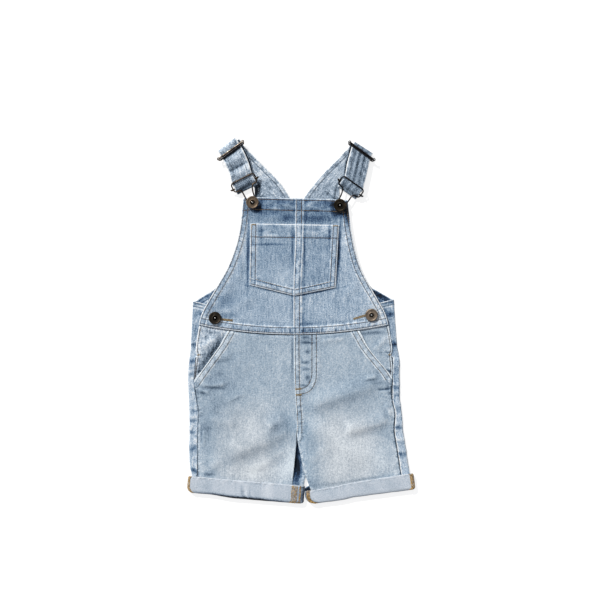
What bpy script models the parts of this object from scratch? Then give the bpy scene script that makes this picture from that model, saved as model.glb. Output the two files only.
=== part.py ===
"""Short denim dungarees for a child of about two, laid flat on their back.

Metres in Blender, millimetres in the tables. X runs across the garment, Y up it from hem to
shoulder, Z up from the surface that it lies on. Left and right are as seen from above.
The plies lie on each other: back, folded side strips, pocket facings, fronts, bib, bib pocket.
"""

import math
from collections import namedtuple

import bmesh
import bpy
import numpy as np
from mathutils import Vector

MM = 0.001

# ---------------------------------------------------------------- driving sizes, in millimetres
CLOTH = 1.0  # one ply of denim
SEAM = 0.4  # gap left between two pieces that a seam joins
PLY_GAP = 0.3  # gap left between two plies that lie on each other
FRONT_Z = 4.0  # underside of the fronts and the bib
FACING_Z = FRONT_Z - PLY_GAP - CLOTH  # underside of the pocket facings
CENTRE_X = -9.5  # centre front seam
WAIST_Y = -19.2  # waist seam at the centre
WAIST_RISE = 13.0  # how much higher the waist seam is at the sides
WAIST_HALF = 127.0  # half the waist's width
BIB_TOP_Y = 164.4
BACK_WAIST_Y = -34.0
CROTCH_Y = -159.0

CUFF_WALL = 2.2  # two plies of the turn-up
CUFF_HIGH = 7.5  # the flattened cuff from the surface to its top
CUFF_FLOOR = CUFF_WALL + PLY_GAP  # the back leg is lifted this much inside its cuff

STRAP_THICK = 1.6
STRAP_HALF = 15.0
STRAP_FRONT_Z = 6.7  # middle of the strap's front stretch at the slide
STRAP_BUCKLE_Z = 7.7  # and at the buckle
STRAP_RETURN_Z = 4.8  # middle of the stretch that comes back up under it
WIRE = 2.0  # buckle wire
SLIDE_WIRE = 1.8
MID_BAR_Z = 5.6
TOP_BAR_Z = 9.8
LOOP_Z = 6.6  # the button loop's wire, just over the bib

BUTTON_HALF = 8.5
NECK_HALF = 2.8
SIDE_HEAD_Z = 6.4
BIB_HEAD_Z = 8.1
HEAD_THICK = 3.0

# ---------------------------------------------------------------- outline tables
# A rung is one section of a panel: its outer end, towards the side, and its inner end.
Rung = namedtuple("Rung", "outer_x outer_y inner_x inner_y")
# The outer ends run down the slanted pocket opening, then down the side seam.
FRONT_LEG_LEFT = [
    Rung(-97.5, -13.6, -9.65, -20.2),
    Rung(-102.6, -22.6, -9.65, -30.0),
    Rung(-108.0, -32.1, -9.65, -40.0),
    Rung(-114.8, -41.5, -9.55, -52.0),
    Rung(-122.9, -53.0, -9.35, -62.0),
    Rung(-132.3, -65.8, -9.15, -76.0),
    Rung(-144.6, -83.5, -8.85, -90.0),
    Rung(-142.6, -96.0, -8.25, -102.0),
    Rung(-140.5, -110.0, -7.65, -118.0),
    Rung(-138.4, -125.0, -6.85, -134.0),
    Rung(-139.4, -148.0, -6.2, -159.0),
    Rung(-139.6, -175.0, -8.0, -184.0),
    Rung(-139.2, -199.0, -10.3, -208.0),
    Rung(-139.4, -214.0, -12.2, -224.0),
    Rung(-140.5, -230.0, -13.4, -240.5),
]
FRONT_LEG_RIGHT = [
    Rung(77.0, -13.6, -9.35, -20.2),
    Rung(82.0, -22.6, -9.35, -30.0),
    Rung(88.6, -33.8, -9.35, -40.0),
    Rung(97.5, -45.5, -9.25, -52.0),
    Rung(107.0, -57.0, -9.05, -62.0),
    Rung(115.6, -67.2, -8.85, -76.0),
    Rung(123.2, -79.0, -8.45, -90.0),
    Rung(121.8, -94.0, -7.75, -102.0),
    Rung(123.4, -110.0, -6.75, -118.0),
    Rung(126.6, -128.0, -5.55, -134.0),
    Rung(125.4, -146.0, -1.2, -157.6),
    Rung(129.4, -175.0, 0.4, -180.0),
    Rung(133.2, -200.0, 7.2, -205.0),
    Rung(135.5, -211.0, 13.0, -226.0),
    Rung(138.5, -226.0, 14.5, -241.0),
]
# The facing behind each slanted pocket, from the side edge to under the front.
FACING_LEFT = [
    Rung(-136.9, -8.8, -84.0, -15.4),
    Rung(-139.8, -20.0, -85.0, -26.0),
    Rung(-142.2, -40.0, -96.0, -48.0),
    Rung(-140.9, -47.0, -101.0, -57.0),
    Rung(-143.8, -67.0, -118.0, -78.0),
    Rung(-144.4, -82.0, -131.0, -92.0),
]
FACING_RIGHT = [
    Rung(117.9, -8.8, 64.0, -15.4),
    Rung(120.6, -20.0, 66.0, -26.0),
    Rung(123.3, -40.0, 78.0, -50.0),
    Rung(121.9, -47.0, 84.0, -58.0),
    Rung(123.6, -67.0, 102.0, -78.0),
    Rung(122.9, -80.0, 111.0, -89.0),
]

# The back leg: the side fold, how far its strip comes back over the front, and the inner edge.
BackRow = namedtuple("BackRow", "fold_x fold_y strip_x inner_x inner_y floor top")
BACK_LEG_LEFT = [
    BackRow(-148.7, -34.0, -127.0, -8.2, -34.0, 0.0, 2.4),
    BackRow(-149.8, -47.0, -133.0, -8.2, -47.0, 0.0, 2.4),
    BackRow(-150.2, -50.0, -143.6, -8.2, -51.0, 0.0, 2.4),
    BackRow(-150.8, -56.0, -144.6, -8.1, -58.0, 0.0, 3.7),
    BackRow(-152.6, -81.0, -145.6, -7.8, -88.0, 0.0, 3.8),
    BackRow(-151.6, -104.0, -142.6, -7.2, -112.0, 0.0, 3.9),
    BackRow(-150.5, -125.0, -139.6, -6.4, -136.0, 0.0, 3.9),
    BackRow(-150.4, -148.0, -140.4, -5.4, -160.0, 0.0, 3.9),
    BackRow(-150.1, -172.0, -140.8, -4.4, -178.0, 0.0, 3.9),
    BackRow(-149.4, -190.0, -140.6, 0.0, -196.0, 0.0, 3.9),
    BackRow(-148.2, -201.0, -140.4, 2.4, -209.0, 0.6, 4.3),
    BackRow(-147.6, -209.0, -140.8, 0.9, -219.0, CUFF_FLOOR, 4.9),
    BackRow(-147.6, -229.0, -142.0, 0.4, -240.5, CUFF_FLOOR, 4.9),
]
BACK_LEG_RIGHT = [
    BackRow(129.6, -34.0, 108.0, -7.8, -34.0, 0.0, 2.4),
    BackRow(132.2, -47.0, 115.0, -7.6, -47.0, 0.0, 2.4),
    BackRow(132.6, -50.0, 123.6, -7.6, -51.0, 0.0, 2.4),
    BackRow(133.2, -56.0, 124.4, -7.5, -58.0, 0.0, 3.7),
    BackRow(134.1, -81.0, 124.1, -7.2, -88.0, 0.0, 3.8),
    BackRow(134.2, -104.0, 123.6, -6.4, -112.0, 0.0, 3.9),
    BackRow(137.4, -128.0, 127.6, -5.4, -136.0, 0.0, 3.9),
    BackRow(137.6, -146.0, 126.5, -2.4, -160.0, 0.0, 3.9),
    BackRow(141.6, -172.0, 130.1, 1.4, -178.0, 0.0, 3.9),
    BackRow(144.3, -190.0, 132.8, 5.0, -194.0, 0.0, 3.9),
    BackRow(145.9, -200.0, 134.3, 9.6, -209.0, 0.6, 4.3),
    BackRow(146.6, -206.5, 135.8, 13.0, -222.0, CUFF_FLOOR, 4.9),
    BackRow(147.4, -224.0, 139.2, 14.0, -240.5, CUFF_FLOOR, 4.9),
]

# The bib: half its width about the centre line, from the waist to the top.
BibRow = namedtuple("BibRow", "y half")
BIB = [
    BibRow(-10.0, 129.2),
    BibRow(9.0, 123.8),
    BibRow(30.0, 112.6),
    BibRow(51.6, 100.4),
    BibRow(71.0, 90.4),
    BibRow(95.0, 81.8),
    BibRow(121.8, 75.4),
    BibRow(148.8, 71.8),
    BibRow(164.4, 70.2),
]

# The back bib's upper edge, from the left side to the right: place across, and height.
EdgePoint = namedtuple("EdgePoint", "x y")
BACK_TOP = [
    EdgePoint(-143.0, 25.6),
    EdgePoint(-119.0, 40.5),
    EdgePoint(-88.0, 68.0),
    EdgePoint(-60.0, 104.0),
    EdgePoint(-38.2, 144.6),
    EdgePoint(-12.2, 159.6),
    EdgePoint(-5.8, 152.0),
    EdgePoint(0.7, 159.6),
    EdgePoint(26.7, 144.6),
    EdgePoint(42.0, 104.0),
    EdgePoint(68.0, 68.0),
    EdgePoint(97.0, 43.0),
    EdgePoint(123.0, 28.0),
]
BACK_FOLD_LEFT = -145.8  # the side folds at the top, and how far out they lean by the waist
BACK_FOLD_RIGHT = 125.5
BACK_LEAN_LEFT = 3.0
BACK_LEAN_RIGHT = 4.2
BACK_SIDE_TOP = 2.4  # height of the flattened side fold under the bib's edge
BACK_STRIP = 24.0  # how far the back comes round under the front at each side
BACK_STRIP_DROP = 6.0  # its top edge falls this much over that width

# The bib pocket's corners.
POCKET_TOP = (-68.2, 130.6, 51.3, 128.6)
POCKET_BOTTOM = (-69.4, 47.6, 46.8, 44.2)
POCKET_POINT_Y = 33.4

# Main folds: a soft ridge from one point to another, with its half width and its height.
Fold = namedtuple("Fold", "x0 y0 x1 y1 half rise")
FOLDS = [
    Fold(-21.0, -134.0, -84.0, -166.0, 13.0, 0.9),
    Fold(-16.0, -162.0, -54.0, -208.0, 10.0, 0.8),
    Fold(-136.0, -91.0, -100.0, -90.0, 4.0, 0.6),
    Fold(24.0, -101.0, 88.0, -78.0, 14.0, 0.9),
    Fold(58.0, -132.0, 114.0, -118.0, 10.0, 0.9),
    Fold(26.0, -150.0, 92.0, -194.0, 18.0, 0.8),
    Fold(-81.0, 92.0, -83.0, 50.0, 5.0, 0.5),
    Fold(62.0, 70.0, 84.0, 28.0, 7.0, 0.5),
]

# Strap sections: middle, direction of the section line in degrees, height of the middle ply.
StrapRow = namedtuple("StrapRow", "x y turn z")
STRAP_LEFT_BACK = [
    StrapRow(-25.2, 152.6, 30.0, 0.8),
    StrapRow(-29.8, 161.8, 36.0, 0.8),
    StrapRow(-41.7, 178.7, 45.0, 0.8),
    StrapRow(-71.0, 208.0, 45.0, 0.8),
    StrapRow(-91.0, 228.0, 42.0, 0.8),
    StrapRow(-98.6, 234.6, 38.0, 0.8),
]
STRAP_LEFT_FRONT = [
    StrapRow(-98.6, 234.6, 38.0, STRAP_FRONT_Z),
    StrapRow(-94.2, 228.2, 35.9, STRAP_FRONT_Z),
    StrapRow(-85.4, 210.0, 30.0, 7.1),
]
STRAP_RIGHT_BACK = [
    StrapRow(13.7, 152.6, -30.0, 0.8),
    StrapRow(18.2, 160.4, -36.0, 0.8),
    StrapRow(36.3, 183.2, -44.0, 0.8),
    StrapRow(58.0, 205.7, -44.0, 0.8),
    StrapRow(76.0, 224.4, -38.0, 0.8),
    StrapRow(82.6, 230.4, -33.0, 0.8),
]
STRAP_RIGHT_FRONT = [
    StrapRow(82.6, 230.4, -33.0, STRAP_FRONT_Z),
    StrapRow(80.8, 225.6, -34.0, STRAP_FRONT_Z),
    StrapRow(75.8, 206.0, -28.0, 7.1),
]
RETURN_SHIFT = 3.0  # the stretch that comes back lies this much nearer the garment's middle

# A cuff: its middle line's two ends, and its height there.
CuffRow = namedtuple("CuffRow", "x0 y0 x1 y1 high0 high1")
CUFF_LEFT = CuffRow(-153.3, -221.4, 5.0, -234.4, 22.4, 21.6)
CUFF_RIGHT = CuffRow(7.6, -238.0, 153.5, -217.2, 18.4, 22.2)

# A buckle hangs on its button and points up the strap, turned by so many degrees.
Buckle = namedtuple("Buckle", "name x y turn")
BUCKLES = [Buckle("left", -65.5, 159.0, 27.0), Buckle("right", 52.7, 155.4, -35.0)]
LOOP_HALF = 5.2  # the button loop, to the wire's middle
FRAME_HALF = 17.3
FRAME_LOW = 22.0
FRAME_HIGH = 35.0
FRAME_CORNER = 4.0
MID_BAR_UP = 26.6
MID_BAR_HALF = 20.3
FRAME_SHIFT = 2.0  # the frame sits this far towards the strap's middle

Slide = namedtuple("Slide", "name x y turn")
SLIDES = [Slide("left", -94.2, 228.2, 35.9), Slide("right", 81.2, 227.2, -36.0)]
SLIDE_HALF = 17.6
SLIDE_LEAN = 3.0  # the lower bar lies this much nearer the buckle

Place = namedtuple("Place", "name x y")
SIDE_BUTTONS = [Place("left", -116.1, 3.0), Place("right", 95.2, 7.1)]

COLOURS = {  # colour, metallic, roughness
    "denim": ((0.36, 0.45, 0.56, 1.0), 0.0, 0.9),
    "denim_reverse": ((0.50, 0.56, 0.63, 1.0), 0.0, 0.9),
    "antique_brass": ((0.12, 0.10, 0.08, 1.0), 1.0, 0.45),
}


# ---------------------------------------------------------------- helpers
def clear_scene():
    for thing in list(bpy.data.objects):
        bpy.data.objects.remove(thing, do_unlink=True)


def material(name):
    found = bpy.data.materials.get(name)
    if found:
        return found
    colour, metallic, roughness = COLOURS[name]
    made = bpy.data.materials.new(name)
    made.use_nodes = True
    shader = made.node_tree.nodes["Principled BSDF"]
    shader.inputs["Base Color"].default_value = colour
    shader.inputs["Metallic"].default_value = metallic
    shader.inputs["Roughness"].default_value = roughness
    return made


def smooth(at, known, values):
    """A curve through values at the known places, level where they turn back."""
    known, values = np.asarray(known, float), np.asarray(values, float)
    if known[0] > known[-1]:
        known, values = known[::-1], values[::-1]
    step = np.diff(values) / np.diff(known)
    slope = np.concatenate([step[:1], (step[:-1] + step[1:]) / 2, step[-1:]])
    slope[1:-1][step[:-1] * step[1:] <= 0] = 0.0
    at = np.clip(np.asarray(at, float), known[0], known[-1])
    i = np.clip(np.searchsorted(known, at) - 1, 0, len(known) - 2)
    gap = known[i + 1] - known[i]
    t = (at - known[i]) / gap
    return (
        (2 * t**3 - 3 * t**2 + 1) * values[i]
        + (t**3 - 2 * t**2 + t) * gap * slope[i]
        + (3 * t**2 - 2 * t**3) * values[i + 1]
        + (t**3 - t**2) * gap * slope[i + 1]
    )


def ease(t):
    t = np.clip(t, 0.0, 1.0)
    return t * t * (3 - 2 * t)


def between(rows, count):
    """count sections through a table's rows, evenly spaced along it, every column smoothed."""
    columns = np.array(rows, float)
    places = np.linspace(0, len(rows) - 1, count)
    return np.array([smooth(places, range(len(rows)), column) for column in columns.T]).T


def waist_y(x):
    return WAIST_Y + WAIST_RISE * ((x - CENTRE_X) / WAIST_HALF) ** 2


def bib_centre(y):
    """The centre line leans a little to the right towards the top."""
    return CENTRE_X + 1.4 * ease((np.asarray(y) - 90.0) / 80.0)


def fold_rise(x, y):
    """The main folds' height over the flat cloth."""
    rise = np.zeros_like(x)
    for f in FOLDS:
        along = np.array([f.x1 - f.x0, f.y1 - f.y0])
        length = np.hypot(*along)
        s = ((x - f.x0) * along[0] + (y - f.y0) * along[1]) / length
        off = ((x - f.x0) * along[1] - (y - f.y0) * along[0]) / length
        past = np.maximum(0.0, np.maximum(-s, s - length))
        rise += f.rise * np.exp(-((off / f.half) ** 2) - (past / f.half) ** 2)
    return rise


def cloth_object(name, grid, thick, side, slot, ring=False):
    """A wall of cloth from a grid of points in millimetres. Solidify grows it to the given side."""
    rows, across = grid.shape[:2]
    mesh = bpy.data.meshes.new(name)
    bm = bmesh.new()
    verts = [[bm.verts.new(Vector(p) * MM) for p in row] for row in grid]
    last = across if ring else across - 1
    for i in range(rows - 1):
        for j in range(last):
            k = (j + 1) % across
            bm.faces.new((verts[i][j], verts[i][k], verts[i + 1][k], verts[i + 1][j]))
    bm.to_mesh(mesh)
    bm.free()
    made = bpy.data.objects.new(name, mesh)
    bpy.context.scene.collection.objects.link(made)
    wall = made.modifiers.new("cloth", "SOLIDIFY")
    wall.thickness = thick * MM
    wall.offset = side
    wall.use_even_offset = True
    mesh.materials.append(material(slot))
    return made


def facing_up(grid):
    """The grid with its columns ordered so that its faces point up."""
    a, b = grid[0, -1] - grid[0, 0], grid[-1, 0] - grid[0, 0]
    return grid if np.cross(a[:2], b[:2]) > 0 else grid[:, ::-1]


# ---------------------------------------------------------------- cloth pieces
def front_leg(name, rungs, count=19, across=11):
    """One front: slanted pocket edge and side seam to the centre seam and inseam."""
    rows = between(rungs, count)
    t = np.linspace(0, 1, across)
    x = rows[:, :1] + (rows[:, 2:3] - rows[:, :1]) * t
    y = rows[:, 1:2] + (rows[:, 3:4] - rows[:, 1:2]) * t
    top = waist_y(x) - SEAM
    y += (top[0] - y[0]) * ease(1 - np.arange(count) / 4.0)[:, None]
    in_cuff = ease((y + 190.0) / 20.0)
    from_inner = np.abs(x - rows[:, 2:3])
    below = ease((CROTCH_Y + 6.0 - y) / 12.0)
    curl = 1.6 * below * (1 - ease(from_inner / 9.0)) * in_cuff
    from_side = np.abs(x - rows[:, :1])
    side = 0.5 * ease((-92.0 - y) / 8.0) * (1 - ease(from_side / 7.0)) * in_cuff
    z = FRONT_Z + fold_rise(x, y) * in_cuff - curl - side
    return cloth_object(name, facing_up(np.dstack([x, y, z])[::-1]), CLOTH, 1.0, "denim")


def facing(name, rungs):
    """The ply that shows in the slanted pocket's opening."""
    rows = between(rungs, 9)
    t = np.linspace(0, 1, 5)
    x = rows[:, :1] + (rows[:, 2:3] - rows[:, :1]) * t
    y = rows[:, 1:2] + (rows[:, 3:4] - rows[:, 1:2]) * t
    z = np.full_like(x, FACING_Z)
    return cloth_object(name, facing_up(np.dstack([x, y, z])[::-1]), CLOTH, 1.0, "denim")


def folded_section(fold_x, strip_x, inner_x, floor, top, flat, arc=5, strip=3):
    """x and z from the inner edge, along the bottom, round the side fold and back over it."""
    radius = (top - floor) / 2
    side = 1.0 if fold_x > inner_x else -1.0
    centre = fold_x - side * radius
    turn = np.linspace(0, math.pi, arc)
    xs = [
        np.linspace(inner_x, centre, flat)[:-1],
        centre + side * radius * np.sin(turn),
        np.linspace(centre, strip_x, strip)[1:],
    ]
    zs = [
        np.full(flat - 1, floor),
        floor + radius * (1 - np.cos(turn)),
        np.full(strip - 1, top),
    ]
    return np.concatenate(xs), np.concatenate(zs)


def back_leg(name, table, count=25, flat=8):
    """One back: flat on the surface, folded round at the side, and lifted inside the cuff."""
    grid = []
    for row in between(table, count):
        row = BackRow(*row)
        x, z = folded_section(row.fold_x, row.strip_x, row.inner_x, row.floor, row.top, flat)
        t = (x - row.inner_x) / (row.fold_x - row.inner_x)
        y = row.inner_y + (row.fold_y - row.inner_y) * t
        grid.append(np.stack([x, y, z], axis=1))
    grid = np.array(grid)[::-1]
    inward = grid if grid[0, 0, 0] < grid[0, flat - 2, 0] else grid[:, ::-1]
    return cloth_object(name, inward, CLOTH, 1.0, "denim")


def bib_half(name, side, count=15, across=8):
    """Half the bib, from the curved armhole edge to the centre seam."""
    v = np.linspace(0, 1, count)[:, None]
    level = WAIST_Y + (BIB_TOP_Y - WAIST_Y) * v
    half = smooth(np.maximum(level, -10.0), [r.y for r in BIB], [r.half for r in BIB])
    t = np.linspace(1, 0, across)
    x = bib_centre(level) + side * (SEAM / 2 + (half - SEAM / 2) * t)
    low = waist_y(x)
    y = low + (BIB_TOP_Y - low) * v
    half = smooth(np.maximum(y, -10.0), [r.y for r in BIB], [r.half for r in BIB])
    x = bib_centre(y) + side * (SEAM / 2 + (half - SEAM / 2) * t)
    z = FRONT_Z + fold_rise(x, y)
    return cloth_object(name, facing_up(np.dstack([x, y, z])), CLOTH, 1.0, "denim")


def pocket_half(name, side, count=7, across=5):
    """Half the bib pocket, a ply that follows the bib, with its pointed lower edge."""
    v = np.linspace(0, 1, count)[:, None]
    t = np.linspace(1, 0, across)
    corner = 2 if side > 0 else 0
    outer_x = POCKET_BOTTOM[corner] + (POCKET_TOP[corner] - POCKET_BOTTOM[corner]) * v
    low_y = POCKET_POINT_Y + (POCKET_BOTTOM[corner + 1] - POCKET_POINT_Y) * t
    top_middle = (POCKET_TOP[1] + POCKET_TOP[3]) / 2
    top_y = top_middle + (POCKET_TOP[corner + 1] - top_middle) * t
    y = low_y + (top_y - low_y) * v
    inner_x = bib_centre(y) + side * SEAM / 2
    x = inner_x + (outer_x - inner_x) * t
    z = FRONT_Z + CLOTH + PLY_GAP + fold_rise(x, y) + 0.4 * np.sin(math.pi * v) * t
    return cloth_object(name, facing_up(np.dstack([x, y, z])), CLOTH, 1.0, "denim")


def back_bib(count=8, flat=25):
    """The upper back: under the bib, folded round at both sides, up to the straps."""
    radius = BACK_SIDE_TOP / 2
    turn = np.linspace(math.pi, 0, 5)
    left, right = BACK_FOLD_LEFT + radius, BACK_FOLD_RIGHT - radius
    strip = np.array([BACK_STRIP, BACK_STRIP / 2])
    xs = np.concatenate(
        [
            left + strip,
            left - radius * np.sin(turn),
            np.linspace(left, right, flat)[1:-1],
            right + radius * np.sin(turn[::-1]),
            right - strip[::-1],
        ]
    )
    zs = np.concatenate(
        [
            np.full(2, BACK_SIDE_TOP),
            radius * (1 - np.cos(turn)),
            np.zeros(flat - 2),
            radius * (1 - np.cos(turn[::-1])),
            np.full(2, BACK_SIDE_TOP),
        ]
    )
    # The flat columns are moved so that each corner of the upper edge has one of its own.
    flats = slice(6, 6 + flat)
    for corner in BACK_TOP[1:-1]:
        nearest = flats.start + int(np.abs(xs[flats] - corner.x).argmin())
        xs[nearest] = corner.x
    edge = np.interp(xs, [p.x for p in BACK_TOP], [p.y for p in BACK_TOP])
    fall = np.linspace(BACK_STRIP_DROP, 0, 3)[:2]
    edge[:2] = BACK_TOP[0].y - fall
    edge[-2:] = BACK_TOP[-1].y - fall[::-1]
    v = np.linspace(0, 1, count)[:, None]
    y = BACK_WAIST_Y + SEAM + (edge - BACK_WAIST_Y - SEAM) * v
    middle = (left + right) / 2
    reach = (xs - middle) / (right - middle)
    x = xs + (1 - v) * np.where(reach < 0, BACK_LEAN_LEFT, BACK_LEAN_RIGHT) * reach
    grid = np.dstack([x, y, np.broadcast_to(zs, y.shape)])
    return cloth_object("back_bib", grid, CLOTH, 1.0, "denim")


def cuff(name, row, arc=6, flat=9, high=3):
    """The turn-up: a flattened ring round the leg's end, two plies thick."""
    along = np.array([row.x1 - row.x0, row.y1 - row.y0])
    length = np.hypot(*along)
    along = along / length
    up = np.array([-along[1], along[0]])
    radius = CUFF_HIGH / 2
    turn = np.linspace(0, math.pi, arc)
    run = np.linspace(radius, length - radius, flat)
    a = np.concatenate(
        [run, length - radius + radius * np.sin(turn)[1:-1], run[::-1], radius - radius * np.sin(turn)[1:-1]]
    )
    z = np.concatenate(
        [
            np.zeros(flat),
            radius * (1 - np.cos(turn))[1:-1],
            np.full(flat, CUFF_HIGH),
            radius * (1 + np.cos(turn))[1:-1],
        ]
    )
    tall = row.high0 + (row.high1 - row.high0) * a / length
    grid = []
    for h in np.linspace(-0.5, 0.5, high):
        x = row.x0 + along[0] * a + up[0] * tall * h
        y = row.y0 + along[1] * a + up[1] * tall * h
        grid.append(np.stack([x, y, z], axis=1))
    grid = np.array(grid)
    return cloth_object(name, grid, CUFF_WALL, 1.0, "denim_reverse", ring=True)


# ---------------------------------------------------------------- straps
def strap_sections(rows, count):
    """Left end, right end of each section line of a stretch."""
    made = []
    for x, y, turn, z in between(rows, count):
        line = np.array([math.cos(math.radians(turn)), math.sin(math.radians(turn))])
        made.append((np.array([x, y]), line, z))
    return made


def strap_arc(start, line, outward, low, high, count=6):
    """Sections round a fold whose line is the section line, from height low to height high."""
    radius = (high - low) / 2
    made = []
    for turn in np.linspace(0, math.pi, count)[1:-1]:
        centre = start + outward * abs(radius) * math.sin(turn)
        made.append((centre, line, low + radius * (1 - math.cos(turn))))
    return made


def on_buckle(row, u, v):
    """A place on a buckle: u across it and v up it from its button."""
    turn = math.radians(row.turn)
    u += math.copysign(FRAME_SHIFT, row.turn) * float(ease(v / FRAME_LOW))
    x = row.x + u * math.cos(turn) - v * math.sin(turn)
    y = row.y + u * math.sin(turn) + v * math.cos(turn)
    return x, y


def strap(name, back, front, side, hold):
    """One strap: up the back, over the shoulder fold, down to the buckle and back up under."""
    for up in (FRAME_HIGH, MID_BAR_UP):
        front = [*front, StrapRow(*on_buckle(hold, 0.0, up), hold.turn, STRAP_BUCKLE_Z)]
    sections = strap_sections(back, 12)
    centre, line, low = sections[-1]
    outward = np.array([-line[1], line[0]])
    sections += strap_arc(centre, line, outward, low, STRAP_FRONT_Z)
    down = strap_sections(front, 11)
    sections += down
    centre, line, high = down[-1]
    inward = np.array([line[1], -line[0]])
    radius = high - MID_BAR_Z
    sections += strap_arc(centre, line, inward, high, MID_BAR_Z - radius)
    for step, (centre, line, _) in enumerate(down[::-1]):
        share = step / (len(down) - 1)
        moved = centre - side * RETURN_SHIFT * line * ease(share * 3)
        z = MID_BAR_Z - radius + (STRAP_RETURN_Z - MID_BAR_Z + radius) * ease(share / 0.7)
        if share < 0.95:
            sections.append((moved, line, z))
    grid = []
    for centre, line, z in sections:
        points = [centre + line * STRAP_HALF * t for t in (-1.0, 0.0, 1.0)]
        grid.append([[*p, z] for p in points])
    return cloth_object(name, np.array(grid), STRAP_THICK, 0.0, "denim")


# ---------------------------------------------------------------- metal pieces
def wire_object(name, points, thick, ring):
    """A bent wire through points in millimetres."""
    curve = bpy.data.curves.new(name, "CURVE")
    curve.dimensions = "3D"
    curve.bevel_depth = thick / 2 * MM
    curve.bevel_resolution = 2
    curve.use_fill_caps = True
    spline = curve.splines.new("POLY")
    spline.points.add(len(points) - 1)
    for spot, p in zip(spline.points, points):
        spot.co = (*(Vector(p) * MM), 1.0)
    spline.use_cyclic_u = ring
    made = bpy.data.objects.new(name, curve)
    bpy.context.scene.collection.objects.link(made)
    curve.materials.append(material("antique_brass"))
    return made


def as_mesh(made):
    """The same object as a mesh, so that a Boolean can take it."""
    name = made.name
    mesh = bpy.data.meshes.new_from_object(made.evaluated_get(bpy.context.evaluated_depsgraph_get()))
    bpy.data.objects.remove(made, do_unlink=True)
    solid = bpy.data.objects.new(name, mesh)
    bpy.context.scene.collection.objects.link(solid)
    bm = bmesh.new()
    bm.from_mesh(mesh)
    bmesh.ops.remove_doubles(bm, verts=bm.verts, dist=1e-6)
    bm.to_mesh(mesh)
    bm.free()
    return solid


def frame_path():
    """Half the buckle's wire, from the button loop to the top bar: across, up and height."""
    path = []
    for turn in np.radians([0, 30, 60, 90]):
        path.append((LOOP_HALF * math.sin(turn), -LOOP_HALF * math.cos(turn), LOOP_Z))
    path += [(5.8, 6.0, LOOP_Z), (6.4, 12.0, LOOP_Z), (6.9, 17.0, 6.4), (7.8, 20.4, 6.2)]
    path += [(9.6, FRAME_LOW - 0.2, 6.0), (11.0, FRAME_LOW, 6.0)]
    reach = FRAME_HALF - FRAME_CORNER
    for turn in np.radians([0, 30, 60, 90]):
        across = reach + FRAME_CORNER * math.sin(turn)
        path.append((across, FRAME_LOW + FRAME_CORNER * (1 - math.cos(turn)), 6.0))
    for turn in np.radians([0, 30, 60, 90]):
        across = reach + FRAME_CORNER * math.cos(turn)
        rise = math.sin(turn)
        z = 8.4 + (TOP_BAR_Z - 8.4) * ease(rise * 1.6)
        path.append((across, FRAME_HIGH - FRAME_CORNER * (1 - rise), z))
    return path


def buckle(row):
    """The wire frame with its button loop, and the middle bar that the strap goes round."""
    half = frame_path()
    whole = half + [(-u, v, z) for u, v, z in half[::-1] if u > 0.01]
    points = [(*on_buckle(row, u, v), z) for u, v, z in whole]
    frame = as_mesh(wire_object(f"buckle_{row.name}", points, WIRE, True))
    reach = (-MID_BAR_HALF, MID_BAR_HALF)
    ends = [(*on_buckle(row, u, MID_BAR_UP), MID_BAR_Z) for u in reach]
    bar = as_mesh(wire_object(f"bar_{row.name}", ends, WIRE, False))
    join = frame.modifiers.new("bar", "BOOLEAN")
    join.operation = "UNION"
    join.object = bar
    bar.hide_render = True
    bar.display_type = "WIRE"
    return frame


def slide(row):
    """The adjuster: a flat wire ring round both plies of the strap, a little tilted."""
    turn = math.radians(row.turn)
    across = np.array([math.cos(turn), math.sin(turn)])
    up = np.array([-math.sin(turn), math.cos(turn)])
    top = STRAP_FRONT_Z + STRAP_THICK / 2 + PLY_GAP + SLIDE_WIRE / 2 + 0.1
    low = STRAP_RETURN_Z - STRAP_THICK / 2 - PLY_GAP - SLIDE_WIRE / 2
    middle, radius = (top + low) / 2, (top - low) / 2
    points = []
    for side in (1, -1):
        for angle in np.radians(np.linspace(-90, 90, 7)) * side:
            u = side * (SLIDE_HALF + radius * math.cos(angle))
            z = middle + radius * math.sin(angle)
            v = SLIDE_LEAN * (z - middle) / (2 * radius)
            x, y = np.array([row.x, row.y]) + across * u + up * v
            points.append((x, y, z))
    return wire_object(f"slide_{row.name}", points, SLIDE_WIRE, True)


def button(name, x, y, head_z):
    """A shank button: a turned head with a rim, a sunk middle and a centre dot, on its neck."""
    cloth_top = FRONT_Z + CLOTH + PLY_GAP + float(fold_rise(np.array([x]), np.array([y]))[0])
    profile = [
        (0.0, head_z + 2.6),
        (1.3, head_z + 2.4),
        (1.6, head_z + 1.5),
        (3.2, head_z + 1.5),
        (4.0, head_z + 2.7),
        (BUTTON_HALF - 1.6, head_z + HEAD_THICK),
        (BUTTON_HALF, head_z + HEAD_THICK - 1.2),
        (BUTTON_HALF - 0.6, head_z + 0.3),
        (BUTTON_HALF - 1.6, head_z),
        (NECK_HALF, head_z),
        (NECK_HALF, cloth_top),
        (0.0, cloth_top),
    ]
    mesh = bpy.data.meshes.new(name)
    verts = [(r * MM, 0.0, z * MM) for r, z in profile]
    mesh.from_pydata(verts, [(i, i + 1) for i in range(len(verts) - 1)], [])
    made = bpy.data.objects.new(name, mesh)
    made.location = (x * MM, y * MM, 0.0)
    bpy.context.scene.collection.objects.link(made)
    turned = made.modifiers.new("turned", "SCREW")
    turned.steps = turned.render_steps = 16
    turned.use_merge_vertices = True
    turned.merge_threshold = 0.00001
    mesh.materials.append(material("antique_brass"))
    return made


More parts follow.
